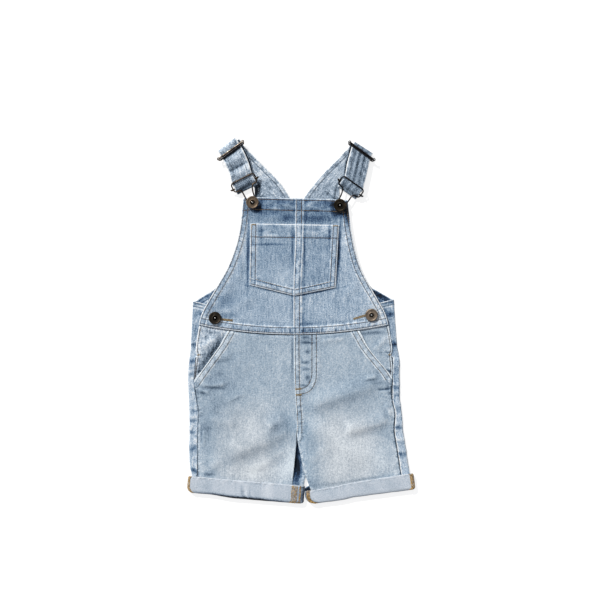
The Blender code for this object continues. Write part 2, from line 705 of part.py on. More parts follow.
# ---------------------------------------------------------------- the garment
def main():
    clear_scene()
    back_leg("back_leg_left", BACK_LEG_LEFT)
    back_leg("back_leg_right", BACK_LEG_RIGHT)
    back_bib()
    facing("pocket_facing_left", FACING_LEFT)
    facing("pocket_facing_right", FACING_RIGHT)
    front_leg("front_leg_left", FRONT_LEG_LEFT)
    front_leg("front_leg_right", FRONT_LEG_RIGHT)
    bib_half("bib_left", -1)
    bib_half("bib_right", 1)
    pocket_half("bib_pocket_left", -1)
    pocket_half("bib_pocket_right", 1)
    cuff("cuff_left", CUFF_LEFT)
    cuff("cuff_right", CUFF_RIGHT)
    strap("strap_left", STRAP_LEFT_BACK, STRAP_LEFT_FRONT, -1, BUCKLES[0])
    strap("strap_right", STRAP_RIGHT_BACK, STRAP_RIGHT_FRONT, 1, BUCKLES[1])
    for row in BUCKLES:
        buckle(row)
        button(f"button_bib_{row.name}", row.x, row.y, BIB_HEAD_Z)
    for row in SLIDES:
        slide(row)
    for row in SIDE_BUTTONS:
        button(f"button_side_{row.name}", row.x, row.y, SIDE_HEAD_Z)


main()
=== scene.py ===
"""Short denim dungarees, laid flat on their back: the looks.

Tables are in millimetres, in the part's own frame: X across, Y from the hems to the shoulders, Z up.
Every panel is a thin shell of cloth. Its outline comes from a table, and its form from its hems,
its rows of stitches, its folds and its washed puckers.
"""

import math
from collections import namedtuple

import bpy
import numpy as np
from mathutils import Matrix, Vector


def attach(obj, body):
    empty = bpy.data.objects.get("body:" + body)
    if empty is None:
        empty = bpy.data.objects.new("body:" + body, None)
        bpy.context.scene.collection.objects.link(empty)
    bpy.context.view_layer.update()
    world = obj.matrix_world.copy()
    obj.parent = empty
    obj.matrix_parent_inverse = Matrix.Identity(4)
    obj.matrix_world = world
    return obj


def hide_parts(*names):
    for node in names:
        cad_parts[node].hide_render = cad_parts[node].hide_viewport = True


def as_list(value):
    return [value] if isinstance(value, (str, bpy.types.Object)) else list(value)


MM = 0.001

# ------------------------------------------------------------------ levels and thicknesses
PLY = 0.8  # one ply of denim
LEAST_PLY = 0.35  # where it is pressed thinnest
FLOOR_GAP = 0.02  # the lowest cloth stays this far above the surface
BACK_HIGH = 2.4  # the upper back, folded over at its sides
FACING_TOP = 3.6
FRONT_TOP, FRONT_UNDER = 4.9, 4.1  # the fronts' and the bib's sides, away from their hems
POCKET_TOP_Z, POCKET_UNDER_Z = 6.15, 5.25
STRAP_THICK, STRAP_HALF = 1.6, 15.0
MID_BAR_Z = 5.6
LOOP_LOW_Z, STRAP_RETURN_Z = 2.6, 4.8  # the strap's end, under its buckle and further up
CUFF_HIGH, CUFF_WALL, CUFF_CUT = 7.5, 2.0, 22.0  # the cuff's own height, its wall, and its band's width

CENTRE_X = -10.1
WAIST_Y, WAIST_RISE, WAIST_HALF = -19.2, 13.0, 127.0
WAIST_ENDS = (-140, 121)

SIDES = {"left": -1, "right": 1}
KEYS = {-1: "left", 1: "right"}


# ------------------------------------------------------------------ outline tables
def rows_of(kind, *rows):
    """A table's rows, each made one of a kind."""
    return [kind(*row) for row in rows]


# A panel's outer and inner edge, section by section from the waist down.
Rung = namedtuple("Rung", "outer_x outer_y inner_x inner_y")
FRONT_LEG = {
    -1: rows_of(
        Rung,
        (-97.5, -13.6, -9.7, -20.2), (-102.6, -22.6, -9.7, -30), (-108, -32.1, -9.7, -40),
        (-114.8, -41.5, -9.6, -52), (-122.9, -53, -9.4, -62), (-132.3, -65.8, -9.2, -76),
        (-144.6, -83.5, -8.9, -90), (-142.6, -96, -8.3, -102), (-140.5, -110, -7.7, -118),
        (-138.4, -125, -6.9, -134), (-139.4, -148, -6.2, -159), (-139.6, -175, -8, -184),
        (-139.2, -199, -10.3, -208), (-139.4, -214, -12.2, -224), (-140.5, -230, -13.4, -240.5),
    ),
    1: rows_of(
        Rung,
        (77, -13.6, -9.3, -20.2), (82, -22.6, -9.3, -30), (88.6, -33.8, -9.3, -40),
        (97.5, -45.5, -9.2, -52), (107, -57, -9, -62), (115.6, -67.2, -8.8, -76),
        (123.2, -79, -8.4, -90), (121.8, -94, -7.8, -102), (123.4, -110, -6.8, -118),
        (126.6, -128, -5.6, -134), (125.4, -146, -5.4, -157.6), (129.4, -175, -1, -180),
        (133.2, -200, 4.6, -205), (135.5, -211, 12, -226), (138.5, -226, 20, -241),
    ),
}
FACING = {
    -1: rows_of(
        Rung,
        (-136.9, -8.8, -84, -15.4), (-139.8, -20, -85, -26), (-142.2, -40, -96, -48),
        (-140.9, -47, -101, -57), (-143.8, -67, -118, -78), (-144.4, -82, -131, -92),
    ),
    1: rows_of(
        Rung,
        (117.9, -8.8, 64, -15.4), (120.6, -20, 66, -26), (123.3, -40, 78, -50),
        (121.9, -47, 84, -58), (123.6, -67, 102, -78), (122.9, -80, 111, -89),
    ),
}
# A back leg: its fold at the side, where its strip over the fold ends, its inner edge, its levels.
BackRow = namedtuple("BackRow", "fold_x fold_y strip_x inner_x inner_y floor top")
BACK_LEG = {
    -1: rows_of(
        BackRow,
        (-148.7, -34, -127, -8.2, -34, 0, 2.4), (-149.8, -47, -133, -8.2, -47, 0, 2.4),
        (-150.2, -50, -141.6, -8.2, -51, 0, 2.4), (-150.8, -56, -142.6, -8.1, -58, 0, 3.7),
        (-152.6, -81, -144.9, -7.8, -88, 0, 3.8), (-151.6, -104, -141.9, -7.2, -112, 0, 3.9),
        (-150.5, -125, -138.9, -6.4, -136, 0, 3.9), (-150.4, -148, -139.8, 0.4, -160, 0, 3.9),
        (-151, -172, -140.2, 2.4, -178, 0, 3.9), (-150.5, -190, -140, 6.4, -196, 0, 3.9),
        (-149.4, -201, -140.2, 7.2, -209, 0.6, 4.3), (-147.6, -209, -140.8, 5, -219, 2.5, 4.9),
        (-147.6, -229, -142, 3, -240.5, 2.5, 4.9),
    ),
    1: rows_of(
        BackRow,
        (129.6, -34, 108, -7.8, -34, 0, 2.4), (132.2, -47, 115, -7.6, -47, 0, 2.4),
        (132.6, -50, 123.6, -7.6, -51, 0, 2.4), (133.2, -56, 124.4, -7.5, -58, 0, 3.7),
        (133.3, -81, 124.1, -7.2, -88, 0, 3.8), (133.4, -104, 123.6, -6.4, -112, 0, 3.9),
        (136.6, -128, 127.6, -5.4, -136, 0, 3.9), (137.6, -146, 126.5, 1.2, -160, 0, 3.9),
        (141.6, -172, 130.1, 3.2, -178, 0, 3.9), (144.3, -190, 132.8, 6.4, -194, 0, 3.9),
        (145.9, -200, 134.3, 10.2, -209, 0.6, 4.3), (146.6, -206.5, 135.8, 12, -221, 2.5, 4.9),
        (147, -215, 137.5, 4.8, -228.5, 2.5, 4.9), (147.4, -224, 139.2, 5.8, -240.5, 2.5, 4.9),
    ),
}
# Washed creases across the strip that each back leg shows at its side.
Crease = namedtuple("Crease", "y shift high amount")
SIDE_STRIP = {-1: 150.0, 1: 146.0}
SIDE_CREASES = {
    -1: rows_of(
        Crease,
        (-37, -2, 1.8, -0.30), (-56.5, -2, 3.6, -0.62), (-65, -3, 1.4, -0.30), (-72.5, 0, 1.5, -0.5),
        (-123, 2, 1.6, -0.46), (-136, 2, 2, -0.60), (-151.5, 6, 2, -0.60), (-174, 9, 4.4, -0.60),
        (-203, 12, 3.4, -0.68),
    ),
    1: rows_of(
        Crease,
        (-36, 0, 8, -0.40), (-66, 0, 22, -0.20), (-91, 0, 1.6, -0.36), (-102, 0, 2.2, -0.26),
        (-119.5, 0, 2.6, -0.30), (-145, 1, 2.6, -0.70), (-165.5, 2, 1.6, -0.30), (-181, 2, 3, -0.60),
    ),
}
# The bib's half width at each height, and its upper edge, which dips a little towards the right.
BIB = (
    (-10, 129.2), (9, 123.8), (30, 112.6), (51.6, 99.9), (71, 89.7), (95, 81.4), (121.8, 75.4),
    (148.8, 71.8), (166, 70.2),
)
BIB_TOP = ((-80, 164.2), (-62, 166), (-30, 165.2), (-8, 164.6), (40, 163.6), (65, 161.6))
POCKET_TOP = {-1: (-68.2, 130.6), 1: (51.3, 128.6)}
POCKET_BOTTOM = {-1: (-69.4, 47.6), 1: (46.8, 44.2)}
POCKET_POINT = (-8.6, 33.0)
POCKET_HEM = 18.0

# The upper back's hem, from one folded side to the other, with the V between the straps.
BACK_TOP = (
    (-143, 25.6), (-119, 40.5), (-88, 68), (-60, 104), (-38.2, 144.6), (-12.2, 159.6), (-5.8, 152),
    (0.7, 159.6), (26.7, 144.6), (42, 104), (68, 68), (97, 43), (123, 28),
)
BACK_FOLD_LEFT, BACK_FOLD_RIGHT = -145.8, 125.5
BACK_LEAN_LEFT, BACK_LEAN_RIGHT = 3.0, 4.2
BACK_WAIST_Y = -34.0

# A strap's middle: its place, the turn of the line across it in degrees, and its height.
StrapRow = namedtuple("StrapRow", "x y turn z")
STRAP_BACK = {
    "left": rows_of(
        StrapRow,
        (-25.2, 152.6, 30, 0.8), (-29.8, 161.8, 36, 0.8), (-41.7, 178.7, 45, 0.8),
        (-71, 208, 45, 0.8), (-91, 228, 42, 0.8), (-98.6, 234.6, 38, 0.8),
    ),
    "right": rows_of(
        StrapRow,
        (13.7, 152.6, -30, 0.8), (18.2, 160.4, -36, 0.8), (36.3, 183.2, -44, 0.8),
        (58, 205.7, -44, 0.8), (76, 224.4, -38, 0.8), (82.6, 230.4, -33, 0.8),
    ),
}
STRAP_FRONT = {
    "left": rows_of(
        StrapRow, (-98.6, 234.6, 38, 6.7), (-94.2, 228.2, 35.9, 6.7), (-85.4, 210, 30, 7.1)
    ),
    "right": rows_of(
        StrapRow, (82.6, 230.4, -33, 6.7), (80.8, 225.6, -34, 6.7), (75.8, 206, -28, 7.1)
    ),
}
# Then over the buckle's bar and down behind its lower wires: the place up the buckle, the height.
STRAP_LOOP = (
    (35, 7.7), (30, 7.7), (26.6, 7.3), (25.2, 6.9), (23.8, 5.8), (22.4, 4.5), (21.2, 4.3), (20, 4.2),
)
RETURN_SHIFT = 3.0  # how far the strap's end lies to the side of its front stretch
FRONT_SHADE = {"left": -0.12, "right": -0.27}  # how much deeper each front stretch is dyed

# A cuff's two ends, its height there, and how round each end's lower and upper corners are.
CuffRow = namedtuple("CuffRow", "x0 y0 x1 y1 high0 high1 low0 low1 up0 up1")
CUFFS = {
    "left": CuffRow(-153.3, -221.4, 5, -234.4, 22.4, 21.6, 8, 3, 3.5, 1.5),
    "right": CuffRow(5.9, -238.2, 153.5, -217.2, 18.4, 22.2, 12, 4.5, 2.5, 3),
}

Spot = namedtuple("Spot", "x y turn")
BUCKLES = {"left": Spot(-65.5, 159.0, 27.0), "right": Spot(52.7, 155.4, -35.0)}
SLIDES = {"left": Spot(-94.2, 228.2, 35.9), "right": Spot(81.2, 227.2, -36.0)}
SIDE_BUTTONS = {"left": Spot(-116.1, 3.0, 0.0), "right": Spot(95.2, 7.1, 0.0)}


# ------------------------------------------------------------------ numbers
def ease(t):
    t = np.clip(t, 0.0, 1.0)
    return t * t * (3 - 2 * t)


def smooth(at, known, values):
    """A curve through values at the known places, level where they turn back."""
    known, values = np.asarray(known, float), np.asarray(values, float)
    step = np.diff(values) / np.diff(known)
    slope = np.concatenate([step[:1], (step[:-1] + step[1:]) / 2, step[-1:]])
    slope[1:-1][step[:-1] * step[1:] <= 0] = 0.0
    at = np.clip(np.asarray(at, float), known[0], known[-1])
    i = np.clip(np.searchsorted(known, at) - 1, 0, len(known) - 2)
    gap = known[i + 1] - known[i]
    t = (at - known[i]) / gap
    return (
        (2 * t**3 - 3 * t**2 + 1) * values[i]
        + (t**3 - 2 * t**2 + t) * gap * slope[i]
        + (3 * t**2 - 2 * t**3) * values[i + 1]
        + (t**3 - t**2) * gap * slope[i + 1]
    )


def between(rows, places):
    """Sections at places from 0 to 1 through a table's rows, every column smoothed."""
    columns = np.array(rows, float).T
    at = np.asarray(places) * (len(rows) - 1)
    return np.array([smooth(at, range(len(rows)), column) for column in columns]).T


def curve(points, step=2.5):
    """A smooth line through a few points, with a point every step."""
    points = np.array(points, float)
    length = np.hypot(*np.diff(points, axis=0).T[:2]).sum()
    return between(points, np.linspace(0, 1, max(3, int(length / step) + 1)))


def spaced(length, fine, coarse, first, last):
    """Places from 0 to 1 along a length: fine steps near its two ends, coarse between."""
    start, end = np.arange(0, first, fine), np.arange(0, last, fine)
    middle = max(1, int(round((length - first - last) / coarse)))
    inner = np.linspace(first, length - last, middle + 1)
    return np.concatenate([start, inner, (length - end)[::-1]]) / length


def run_of(points):
    """How far along a line each of its points lies."""
    return np.concatenate([[0], np.cumsum(np.linalg.norm(np.diff(points, axis=0), axis=1))])


def sampled(values, run, at):
    """A line's values at other places along its run."""
    return np.stack([np.interp(at, run, column) for column in np.asarray(values).T], axis=-1)


def ripple(s, step, seed):
    """Smooth noise from -1 to 1 along a line."""
    known = np.random.default_rng(seed).uniform(-1, 1, 512)
    at = np.asarray(s) / step
    i = np.floor(at).astype(int)
    t = ease(at - i)
    return known[i % len(known)] * (1 - t) + known[(i + 1) % len(known)] * t


def mottle(x, y, step, seed, stretch=1.0):
    """Smooth noise from -1 to 1 over a surface, stretched along Y."""
    known = np.random.default_rng(seed).uniform(-1, 1, (128, 128))
    u, v = x / step, y / (step * stretch)
    i, j = np.floor(u).astype(int), np.floor(v).astype(int)
    s, t = ease(u - i), ease(v - j)
    here, right = i % len(known), (i + 1) % len(known)
    near, far = j % len(known), (j + 1) % len(known)
    low = known[here, near] * (1 - s) + known[right, near] * s
    high = known[here, far] * (1 - s) + known[right, far] * s
    return low * (1 - t) + high * t


def away(x, y, line):
    """How far each place is from a line, positive on its left; how far along that is; its length."""
    line = np.asarray(line, float)[:, :2]
    best = np.full(np.shape(x), 1e9)
    side, along = np.ones(np.shape(x)), np.zeros(np.shape(x))
    run = 0.0
    for a, b in zip(line[:-1], line[1:]):
        d = b - a
        length = math.hypot(*d)
        if length < 1e-9:
            continue
        s = np.clip(((x - a[0]) * d[0] + (y - a[1]) * d[1]) / length, 0, length)
        px, py = x - a[0] - d[0] * s / length, y - a[1] - d[1] * s / length
        dist = px * px + py * py
        closer = dist < best
        best = np.where(closer, dist, best)
        side = np.where(closer, np.sign(d[0] * py - d[1] * px), side)
        along = np.where(closer, run + s, along)
        run += length
    return np.sqrt(best) * np.where(side == 0, 1, side), along, run


def blurred(z, times):
    """A grid's values averaged with their neighbours, several times."""
    for _ in range(times):
        p = np.pad(z, 1, mode="edge")
        z = (p[:-2, 1:-1] + p[2:, 1:-1] + p[1:-1, :-2] + p[1:-1, 2:] + 2 * p[1:-1, 1:-1]) / 6
    return z


def inset(line, by):
    """A line moved to its left by so much."""
    line = np.asarray(line, float)
    d = np.gradient(line, axis=0)
    d /= np.hypot(d[:, 0], d[:, 1])[:, None]
    return line + by * np.stack([-d[:, 1], d[:, 0]], axis=1)


# ------------------------------------------------------------------ form, wash and painted shade of the cloth
# A hem or seam: its edge line, the band's width and rise, its rows of stitches, its puckers and
# their length, whether its edge is worn, how far it lifts the ply's under side where it laps over
# another, and how much paler the band is.
Hem = namedtuple("Hem", "line width rise rows pucker step seed worn lap tint")
# A soft fold: its crest, its height, its width to the left and right of the crest, its ends' taper.
Fold = namedtuple("Fold", "path rise left right taper")
# A washed fade, or a patch of painted shade or painted light: its middle, half sizes, turn in
# degrees, and how much paler or deeper it is.
Wash = namedtuple("Wash", "x y wide high turn amount")
# What a panel is at each point: its rise, its tone, how far it is from an edge and from a row of
# stitches, its place along the nearest seam, and its under side's rise.
Form = namedtuple("Form", "rise tone edge row seam under")
FAR = 99.0
EDGE_DIP, STITCH_DIP = 0.35, 0.34  # how far an edge rolls down, and how deep a row of stitches pulls
SEAM_REACH = 3.5  # how far a seam's puckers run out over the cloth beside it


def hem(line, width, rise, rows, seed, pucker=0.16, step=4.6, worn=True, lap=0.0, tint=0.0):
    return Hem(np.asarray(line, float), width, rise, rows, pucker, step, seed, worn, lap, tint)


class Cloth:
    """How one panel's upper side rises over its flat level, and its tone: how worn it is, with the painted
    shade and light of its patches.
    """

    def __init__(self, hems, folds, wash, tone, seed, crumple):
        self.hems, self.folds, self.wash = hems, folds, wash
        self.tone, self.seed, self.crumple = tone, seed, crumple

    def form(self, x, y):
        x, y = np.asarray(x, float), np.asarray(y, float)
        band, fine, swell, lap, second = (np.zeros_like(x) for _ in range(5))
        tone = np.full_like(x, self.tone)
        edge, row = np.full_like(x, FAR), np.full_like(x, FAR)
        seam = np.zeros(x.shape + (3,))
        for h in self.hems:
            off, along, _ = away(x, y, h.line)
            off = np.abs(off)
            if h.rise:
                band = np.maximum(band, h.rise * (1 - ease((off - h.width + 0.4) / 1.5)))
            if h.worn:
                fine -= EDGE_DIP * np.exp(-off / 0.5)
                edge = np.minimum(edge, off)
            if h.worn and len(h.rows) > 1 and h.width < 12:  # rubbed where the band steps down
                tone += 0.26 * np.exp(-(((off - (h.rows[-1] + h.width) / 2 - 1.0) / 0.65) ** 2))
            for r in h.rows:
                fine -= STITCH_DIP * np.exp(-(((off - r) / 0.8) ** 2))
                row = np.minimum(row, np.abs(off - r))
            held = np.exp(-np.maximum(off - h.width, 0) / SEAM_REACH)
            wave = ripple(along + 0.45 * off, h.step, h.seed)
            fine += h.pucker * wave * np.where(off < h.width, np.sin(np.pi * off / (h.width + 0.1)), 0)
            fine += 0.6 * h.pucker * held * ripple(along, h.step * 1.4, h.seed + 7)
            tone += h.tint * (1 - ease((off - h.width) / 2.0))
            lap = np.maximum(lap, h.lap * (1 - ease((off - h.width + 1.0) / 3.0)))
            held = held * (h.pucker > 0)
            nearer = held > seam[..., 2]
            second = np.where(nearer, seam[..., 2], np.maximum(second, held))
            place = np.stack([along * 3.2 / h.step + 37.0 * h.seed, off, held], axis=-1)
            seam = np.where(nearer[..., None], place, seam)
        seam[..., 2] *= ease((seam[..., 2] - second) / 0.35)  # so that two seams meet softly
        for f in self.folds:
            off, along, length = away(x, y, f.path)
            half = np.where(off > 0, f.left, f.right)
            ends = ease(along / f.taper) * ease((length - along) / f.taper)
            swell += f.rise * ends * np.exp(-((off / half) ** 2))
        for w in self.wash:
            c, s = math.cos(math.radians(w.turn)), math.sin(math.radians(w.turn))
            u, v = (x - w.x) * c + (y - w.y) * s, (y - w.y) * c - (x - w.x) * s
            tone += w.amount * np.exp(-((u / w.wide) ** 2) - (v / w.high) ** 2)
        k = self.crumple
        swell += 0.34 * k * mottle(x, y, 24, self.seed)
        fine += k * (0.16 * mottle(x, y, 10, self.seed + 1) + 0.06 * mottle(x, y, 4.2, self.seed + 2))
        tone += 0.045 * mottle(x, y, 17, self.seed + 3) + 0.045 * mottle(x, y, 6, self.seed + 4, 1.6)
        return Form(band + fine + swell, tone, edge, row, seam, lap + swell)


def worn_and_shaded_tone(z, tone):
    """Stone washing pales the ridges and leaves the hollows blue; the broad term adds painted light on the
    laid folds' crests and painted shade in their troughs.
    """
    fine, fold_light_and_shade = z - blurred(z, 6), z - blurred(z, 40)
    return tone + 0.50 * np.clip(fine, -0.4, 0.4) + 0.06 * np.clip(fold_light_and_shade, -0.8, 0.8)


# ------------------------------------------------------------------ finishes
DEEPEST = -0.6  # the tone of unwashed indigo, where 0 is blue and 1 nearly white


def srgb(code):
    """A colour's hex code in the linear numbers that a shader takes."""
    parts = [int(code[i : i + 2], 16) / 255 for i in (1, 3, 5)]
    return tuple(c / 12.92 if c <= 0.04045 else ((c + 0.055) / 1.055) ** 2.4 for c in parts) + (1.0,)


def node(tree, kind, inputs=None, **settings):
    """Adds a node with its settings, sets or links its inputs, and returns its outputs."""
    made = tree.nodes.new("ShaderNode" + kind)
    for key, value in settings.items():
        setattr(made, key, value)
    for key, value in (inputs or {}).items():
        if isinstance(value, bpy.types.NodeSocket):
            tree.links.new(value, made.inputs[key])
        else:
            made.inputs[key].default_value = value
    return made.outputs


def new_material(name, **constants):
    made = bpy.data.materials.new(name)
    made.use_nodes = True
    shader = made.node_tree.nodes["Principled BSDF"]
    for key, value in constants.items():
        shader.inputs[key.replace("_", " ")].default_value = value
    return made, made.node_tree, shader


def set_colours(colour, places, codes):
    """Sets the colours of the ramp behind a socket, by their hex codes at places from 0 to 1."""
    band = colour.node.color_ramp
    while len(band.elements) < len(places):
        band.elements.new(0.5)
    for element, place, code in zip(band.elements, places, codes.split()):
        element.position = place
        element.color = srgb(code)


def denim(name, tones, codes, streak=0.80, salt=1.22, slub=0.28, worn=0.55, rubbed=0.0):
    """Indigo denim, stone washed: blue warp over white weft, so it streaks along the warp."""
    made, tree, shader = new_material(
        name, Roughness=0.88, Sheen_Weight=0.12, Sheen_Roughness=0.5, Specular_IOR_Level=0.25
    )
    cut = node(tree, "Attribute", attribute_name="cut")["Vector"]
    seam = node(tree, "Attribute", attribute_name="seam")["Vector"]
    tone, edge, row = (
        node(tree, "Attribute", attribute_name=key)["Fac"] for key in ("tone", "edge_mm", "row_mm")
    )
    patterns = []
    for place, wide, long, deep, detail, rough in (
        # A warp end is 0.5 mm; groups of two or three wear together, over 10 mm of their length.
        (cut, 1.3, 10.0, 1, 2.0, 0.5),
        # Single crossings of 0.6 mm are too fine to show, so they are drawn at 1.5 mm.
        (cut, 1.35, 1.55, 1, 1.0, 0.6),
        # Here and there a thicker end shows for a few centimetres.
        (cut, 2.6, 45.0, 1, 1.0, 0.5),
        # Washed puckers along each seam, every few millimetres.
        (seam, 3.6, 7.0, 0, 2.0, 0.5),
    ):
        place = node(tree, "Mapping", {"Vector": place, "Scale": (1 / wide, 1 / long, deep)})["Vector"]
        pattern = {"Vector": place, "Scale": 1.0, "Detail": detail, "Roughness": rough}
        patterns.append(node(tree, "TexNoise", pattern)[0])
    warp, fleck, thick, gather = patterns
    # Each pucker has a pale ridge and a deep blue hollow.
    gather = node(tree, "MapRange", {0: gather, 1: 0.30, 2: 0.62, 3: -1.0, 4: 0.6})[0]
    held = node(tree, "SeparateXYZ", {"Vector": seam})["Z"]
    gather = node(tree, "Math", {0: gather, 1: held}, operation="MULTIPLY")["Value"]
    fade = {"interpolation_type": "SMOOTHSTEP"}
    # The rim is paler where the edge is worn; the groove is painted shade along each row of stitches.
    rim, painted_groove_shade = (
        node(tree, "MapRange", {0: off, 1: near, 2: near + 1.0, 3: 1.0, 4: 0.0}, **fade)[0]
        for off, near in ((edge, 0.7), (row, 0.3))
    )
    level = node(tree, "Math", {0: tone, 1: -0.5 * (streak + salt + slub)})["Value"]
    for part, amount in (
        (warp, streak), (fleck, salt), (thick, slub), (gather, 0.28), (rim, worn), (painted_groove_shade, -0.34)
    ):
        level = node(tree, "Math", {0: part, 1: amount, 2: level}, operation="MULTIPLY_ADD")["Value"]
    level = node(tree, "MapRange", {0: level, 1: DEEPEST, 2: 1.0, 3: 0.0, 4: 1.0})[0]
    colour = node(tree, "ValToRGB", {"Fac": level})["Color"]
    set_colours(colour, [(t - DEEPEST) / (1.0 - DEEPEST) for t in tones], codes)
    if rubbed:
        # The legs' fronts are rubbed greyer towards the hems, and stay bluer at the inseams.
        place = node(tree, "TexCoord")["Object"]
        place = node(tree, "SeparateXYZ", {"Vector": place})
        side = node(tree, "Math", {0: place["X"], 1: 0.004}, operation="ADD")["Value"]
        side = node(tree, "Math", {0: side}, operation="ABSOLUTE")["Value"]
        inner = node(tree, "MapRange", {0: side, 1: 0.008, 2: 0.046, 3: -0.45, 4: 1.0})[0]
        outer = node(tree, "MapRange", {0: side, 1: 0.085, 2: 0.120, 3: rubbed, 4: 0.0})[0]
        low = node(tree, "MapRange", {0: place["Y"], 1: -0.100, 2: -0.145, 3: 0.0, 4: 1.0})[0]
        grey = node(tree, "Math", {0: inner, 1: outer}, operation="MULTIPLY")["Value"]
        grey = node(tree, "Math", {0: grey, 1: low}, operation="MULTIPLY")["Value"]
        sat = node(tree, "Math", {0: 1.0, 1: grey}, operation="SUBTRACT")["Value"]
        dim = node(tree, "Math", {0: grey, 1: -0.14, 2: 1.0}, operation="MULTIPLY_ADD")["Value"]
        colour = node(tree, "HueSaturation", {"Saturation": sat, "Value": dim, "Color": colour})[0]
    tree.links.new(colour, shader.inputs["Base Color"])
    # The twill's diagonal ribs are 0.9 mm apart; they are drawn at 1.5 mm.
    rib = node(tree, "VectorMath", {0: cut, 1: (4.2, 2.4, 0.0)}, operation="DOT_PRODUCT")["Value"]
    rib = node(tree, "Math", {0: rib}, operation="SINE")["Value"]
    height = fleck
    for part, amount in ((rib, 0.12), (warp, 0.8), (gather, 0.7)):
        height = node(tree, "Math", {0: part, 1: amount, 2: height}, operation="MULTIPLY_ADD")["Value"]
    bump = node(tree, "Bump", {"Height": height, "Strength": 0.9, "Distance": 0.00055})["Normal"]
    tree.links.new(bump, shader.inputs["Normal"])
    return made


def thread(name, codes):
    """Spun polyester sewing thread, washed: a soft sheen, paler where it is rubbed."""
    made, tree, shader = new_material(name, Roughness=0.7, Sheen_Weight=0.2)
    place = node(tree, "TexCoord")["Object"]
    rub = node(tree, "TexNoise", {"Vector": place, "Scale": 420.0, "Detail": 2.0})[0]
    colour = node(tree, "ValToRGB", {"Fac": rub})["Color"]
    set_colours(colour, (0.35, 0.65), codes)
    tree.links.new(colour, shader.inputs["Base Color"])
    ply = node(tree, "TexNoise", {"Vector": place, "Scale": 2500.0, "Detail": 1.0})[0]
    bump = node(tree, "Bump", {"Height": ply, "Strength": 0.5, "Distance": 0.0001})["Normal"]
    tree.links.new(bump, shader.inputs["Normal"])
    return made


def antique_brass(name, codes, rough=(0.5, 0.32)):
    """Zinc alloy plated brass and darkened, then brushed back: brown with soft bright rims."""
    made, tree, shader = new_material(name, Metallic=1.0)
    place = node(tree, "TexCoord")["Object"]
    patina = node(tree, "TexNoise", {"Vector": place, "Scale": 260.0, "Detail": 4.0, "Roughness": 0.65})[0]
    colour = node(tree, "ValToRGB", {"Fac": patina})["Color"]
    set_colours(colour, (0.3, 0.52, 0.72), codes)
    tree.links.new(colour, shader.inputs["Base Color"])
    rough = node(tree, "MapRange", {0: patina, 1: 0.3, 2: 0.7, 3: rough[0], 4: rough[1]})[0]
    tree.links.new(rough, shader.inputs["Roughness"])
    grain = node(tree, "TexNoise", {"Vector": place, "Scale": 1500.0, "Detail": 2.0})[0]
    bump = node(tree, "Bump", {"Height": grain, "Strength": 0.35, "Distance": 0.00012})["Normal"]
    tree.links.new(bump, shader.inputs["Normal"])
    return made


# ------------------------------------------------------------------ making meshes
SURFACES, EDGES = {}, {}  # each panel's upper side in plan, and each rolled piece's outer grid


def deselect():
    if bpy.context.object and bpy.context.object.mode != "OBJECT":
        bpy.ops.object.mode_set(mode="OBJECT")
    bpy.ops.object.select_all(action="DESELECT")


def normals(points):
    """The surface's own direction at each point of a grid that faces up."""
    n = np.cross(np.gradient(points, axis=1), np.gradient(points, axis=0))
    return n / np.maximum(np.linalg.norm(n, axis=2, keepdims=True), 1e-9)


def shell(name, outer, inner, cut, tone, form, finish):
    """A closed shell of cloth between two grids of points, with what its finish reads."""
    rows, across = outer.shape[:2]
    deselect()
    bpy.ops.mesh.primitive_grid_add(x_subdivisions=across - 1, y_subdivisions=rows - 1, size=0.1)
    made = bpy.context.object
    made.name = made.data.name = name
    for layer in list(made.data.uv_layers):
        made.data.uv_layers.remove(layer)
    made.modifiers.new("ply", "SOLIDIFY").thickness = PLY * MM
    bpy.ops.object.modifier_apply(modifier="ply")
    mesh = made.data
    count = rows * across
    points = np.concatenate([outer.reshape(-1, 3), inner.reshape(-1, 3)]) * MM
    assert len(mesh.vertices) == 2 * count
    mesh.vertices.foreach_set("co", points.astype(np.float32).ravel())
    for key, kind, values in (
        ("cut", "FLOAT_VECTOR", cut),
        ("seam", "FLOAT_VECTOR", form.seam),
        ("tone", "FLOAT", tone),
        ("edge_mm", "FLOAT", form.edge),
        ("row_mm", "FLOAT", form.row),
    ):
        held = mesh.attributes.new(key, kind, "POINT")
        flat = np.asarray(values, np.float32).reshape(count, -1)
        flat = np.concatenate([flat, flat]).ravel()
        held.data.foreach_set("vector" if kind == "FLOAT_VECTOR" else "value", flat)
    mesh.polygons.foreach_set("use_smooth", np.ones(len(mesh.polygons), bool))
    mesh.materials.clear()
    mesh.materials.append(finish)
    mesh.update()
    return made


def cut_place(x, y, turn, seed):
    """Where each point lies on its cut piece: across and along the warp, in mm."""
    c, s = math.cos(math.radians(turn)), math.sin(math.radians(turn))
    return np.stack([x * c + y * s + 97.0 * seed, y * c - x * s, np.full_like(x, 3.1 * seed)], axis=-1)


def panel(name, x, y, level, under, cloth, finish, turn, keep=lambda x, y: 1.0):
    """A flat panel: its outline's grid, the level of its two sides, and its cloth."""
    if y[0, 0] > y[-1, 0]:
        x, y = x[::-1], y[::-1]
    if x[0, 0] > x[0, -1]:
        x, y = x[:, ::-1], y[:, ::-1]
    form = cloth.form(x, y)
    share = keep(x, y)
    top = level(x, y) + form.rise * share
    low = np.minimum(under(x, y) + form.under * share, top - LEAST_PLY)
    outer, inner = np.dstack([x, y, top]), np.dstack([x, y, low])
    cut = cut_place(x, y, turn, cloth.seed)
    SURFACES[name] = lambda x, y: level(x, y) + cloth.form(x, y).rise * keep(x, y)
    return shell(name + "_cloth", outer, inner, cut, worn_and_shaded_tone(top, form.tone), form, finish)


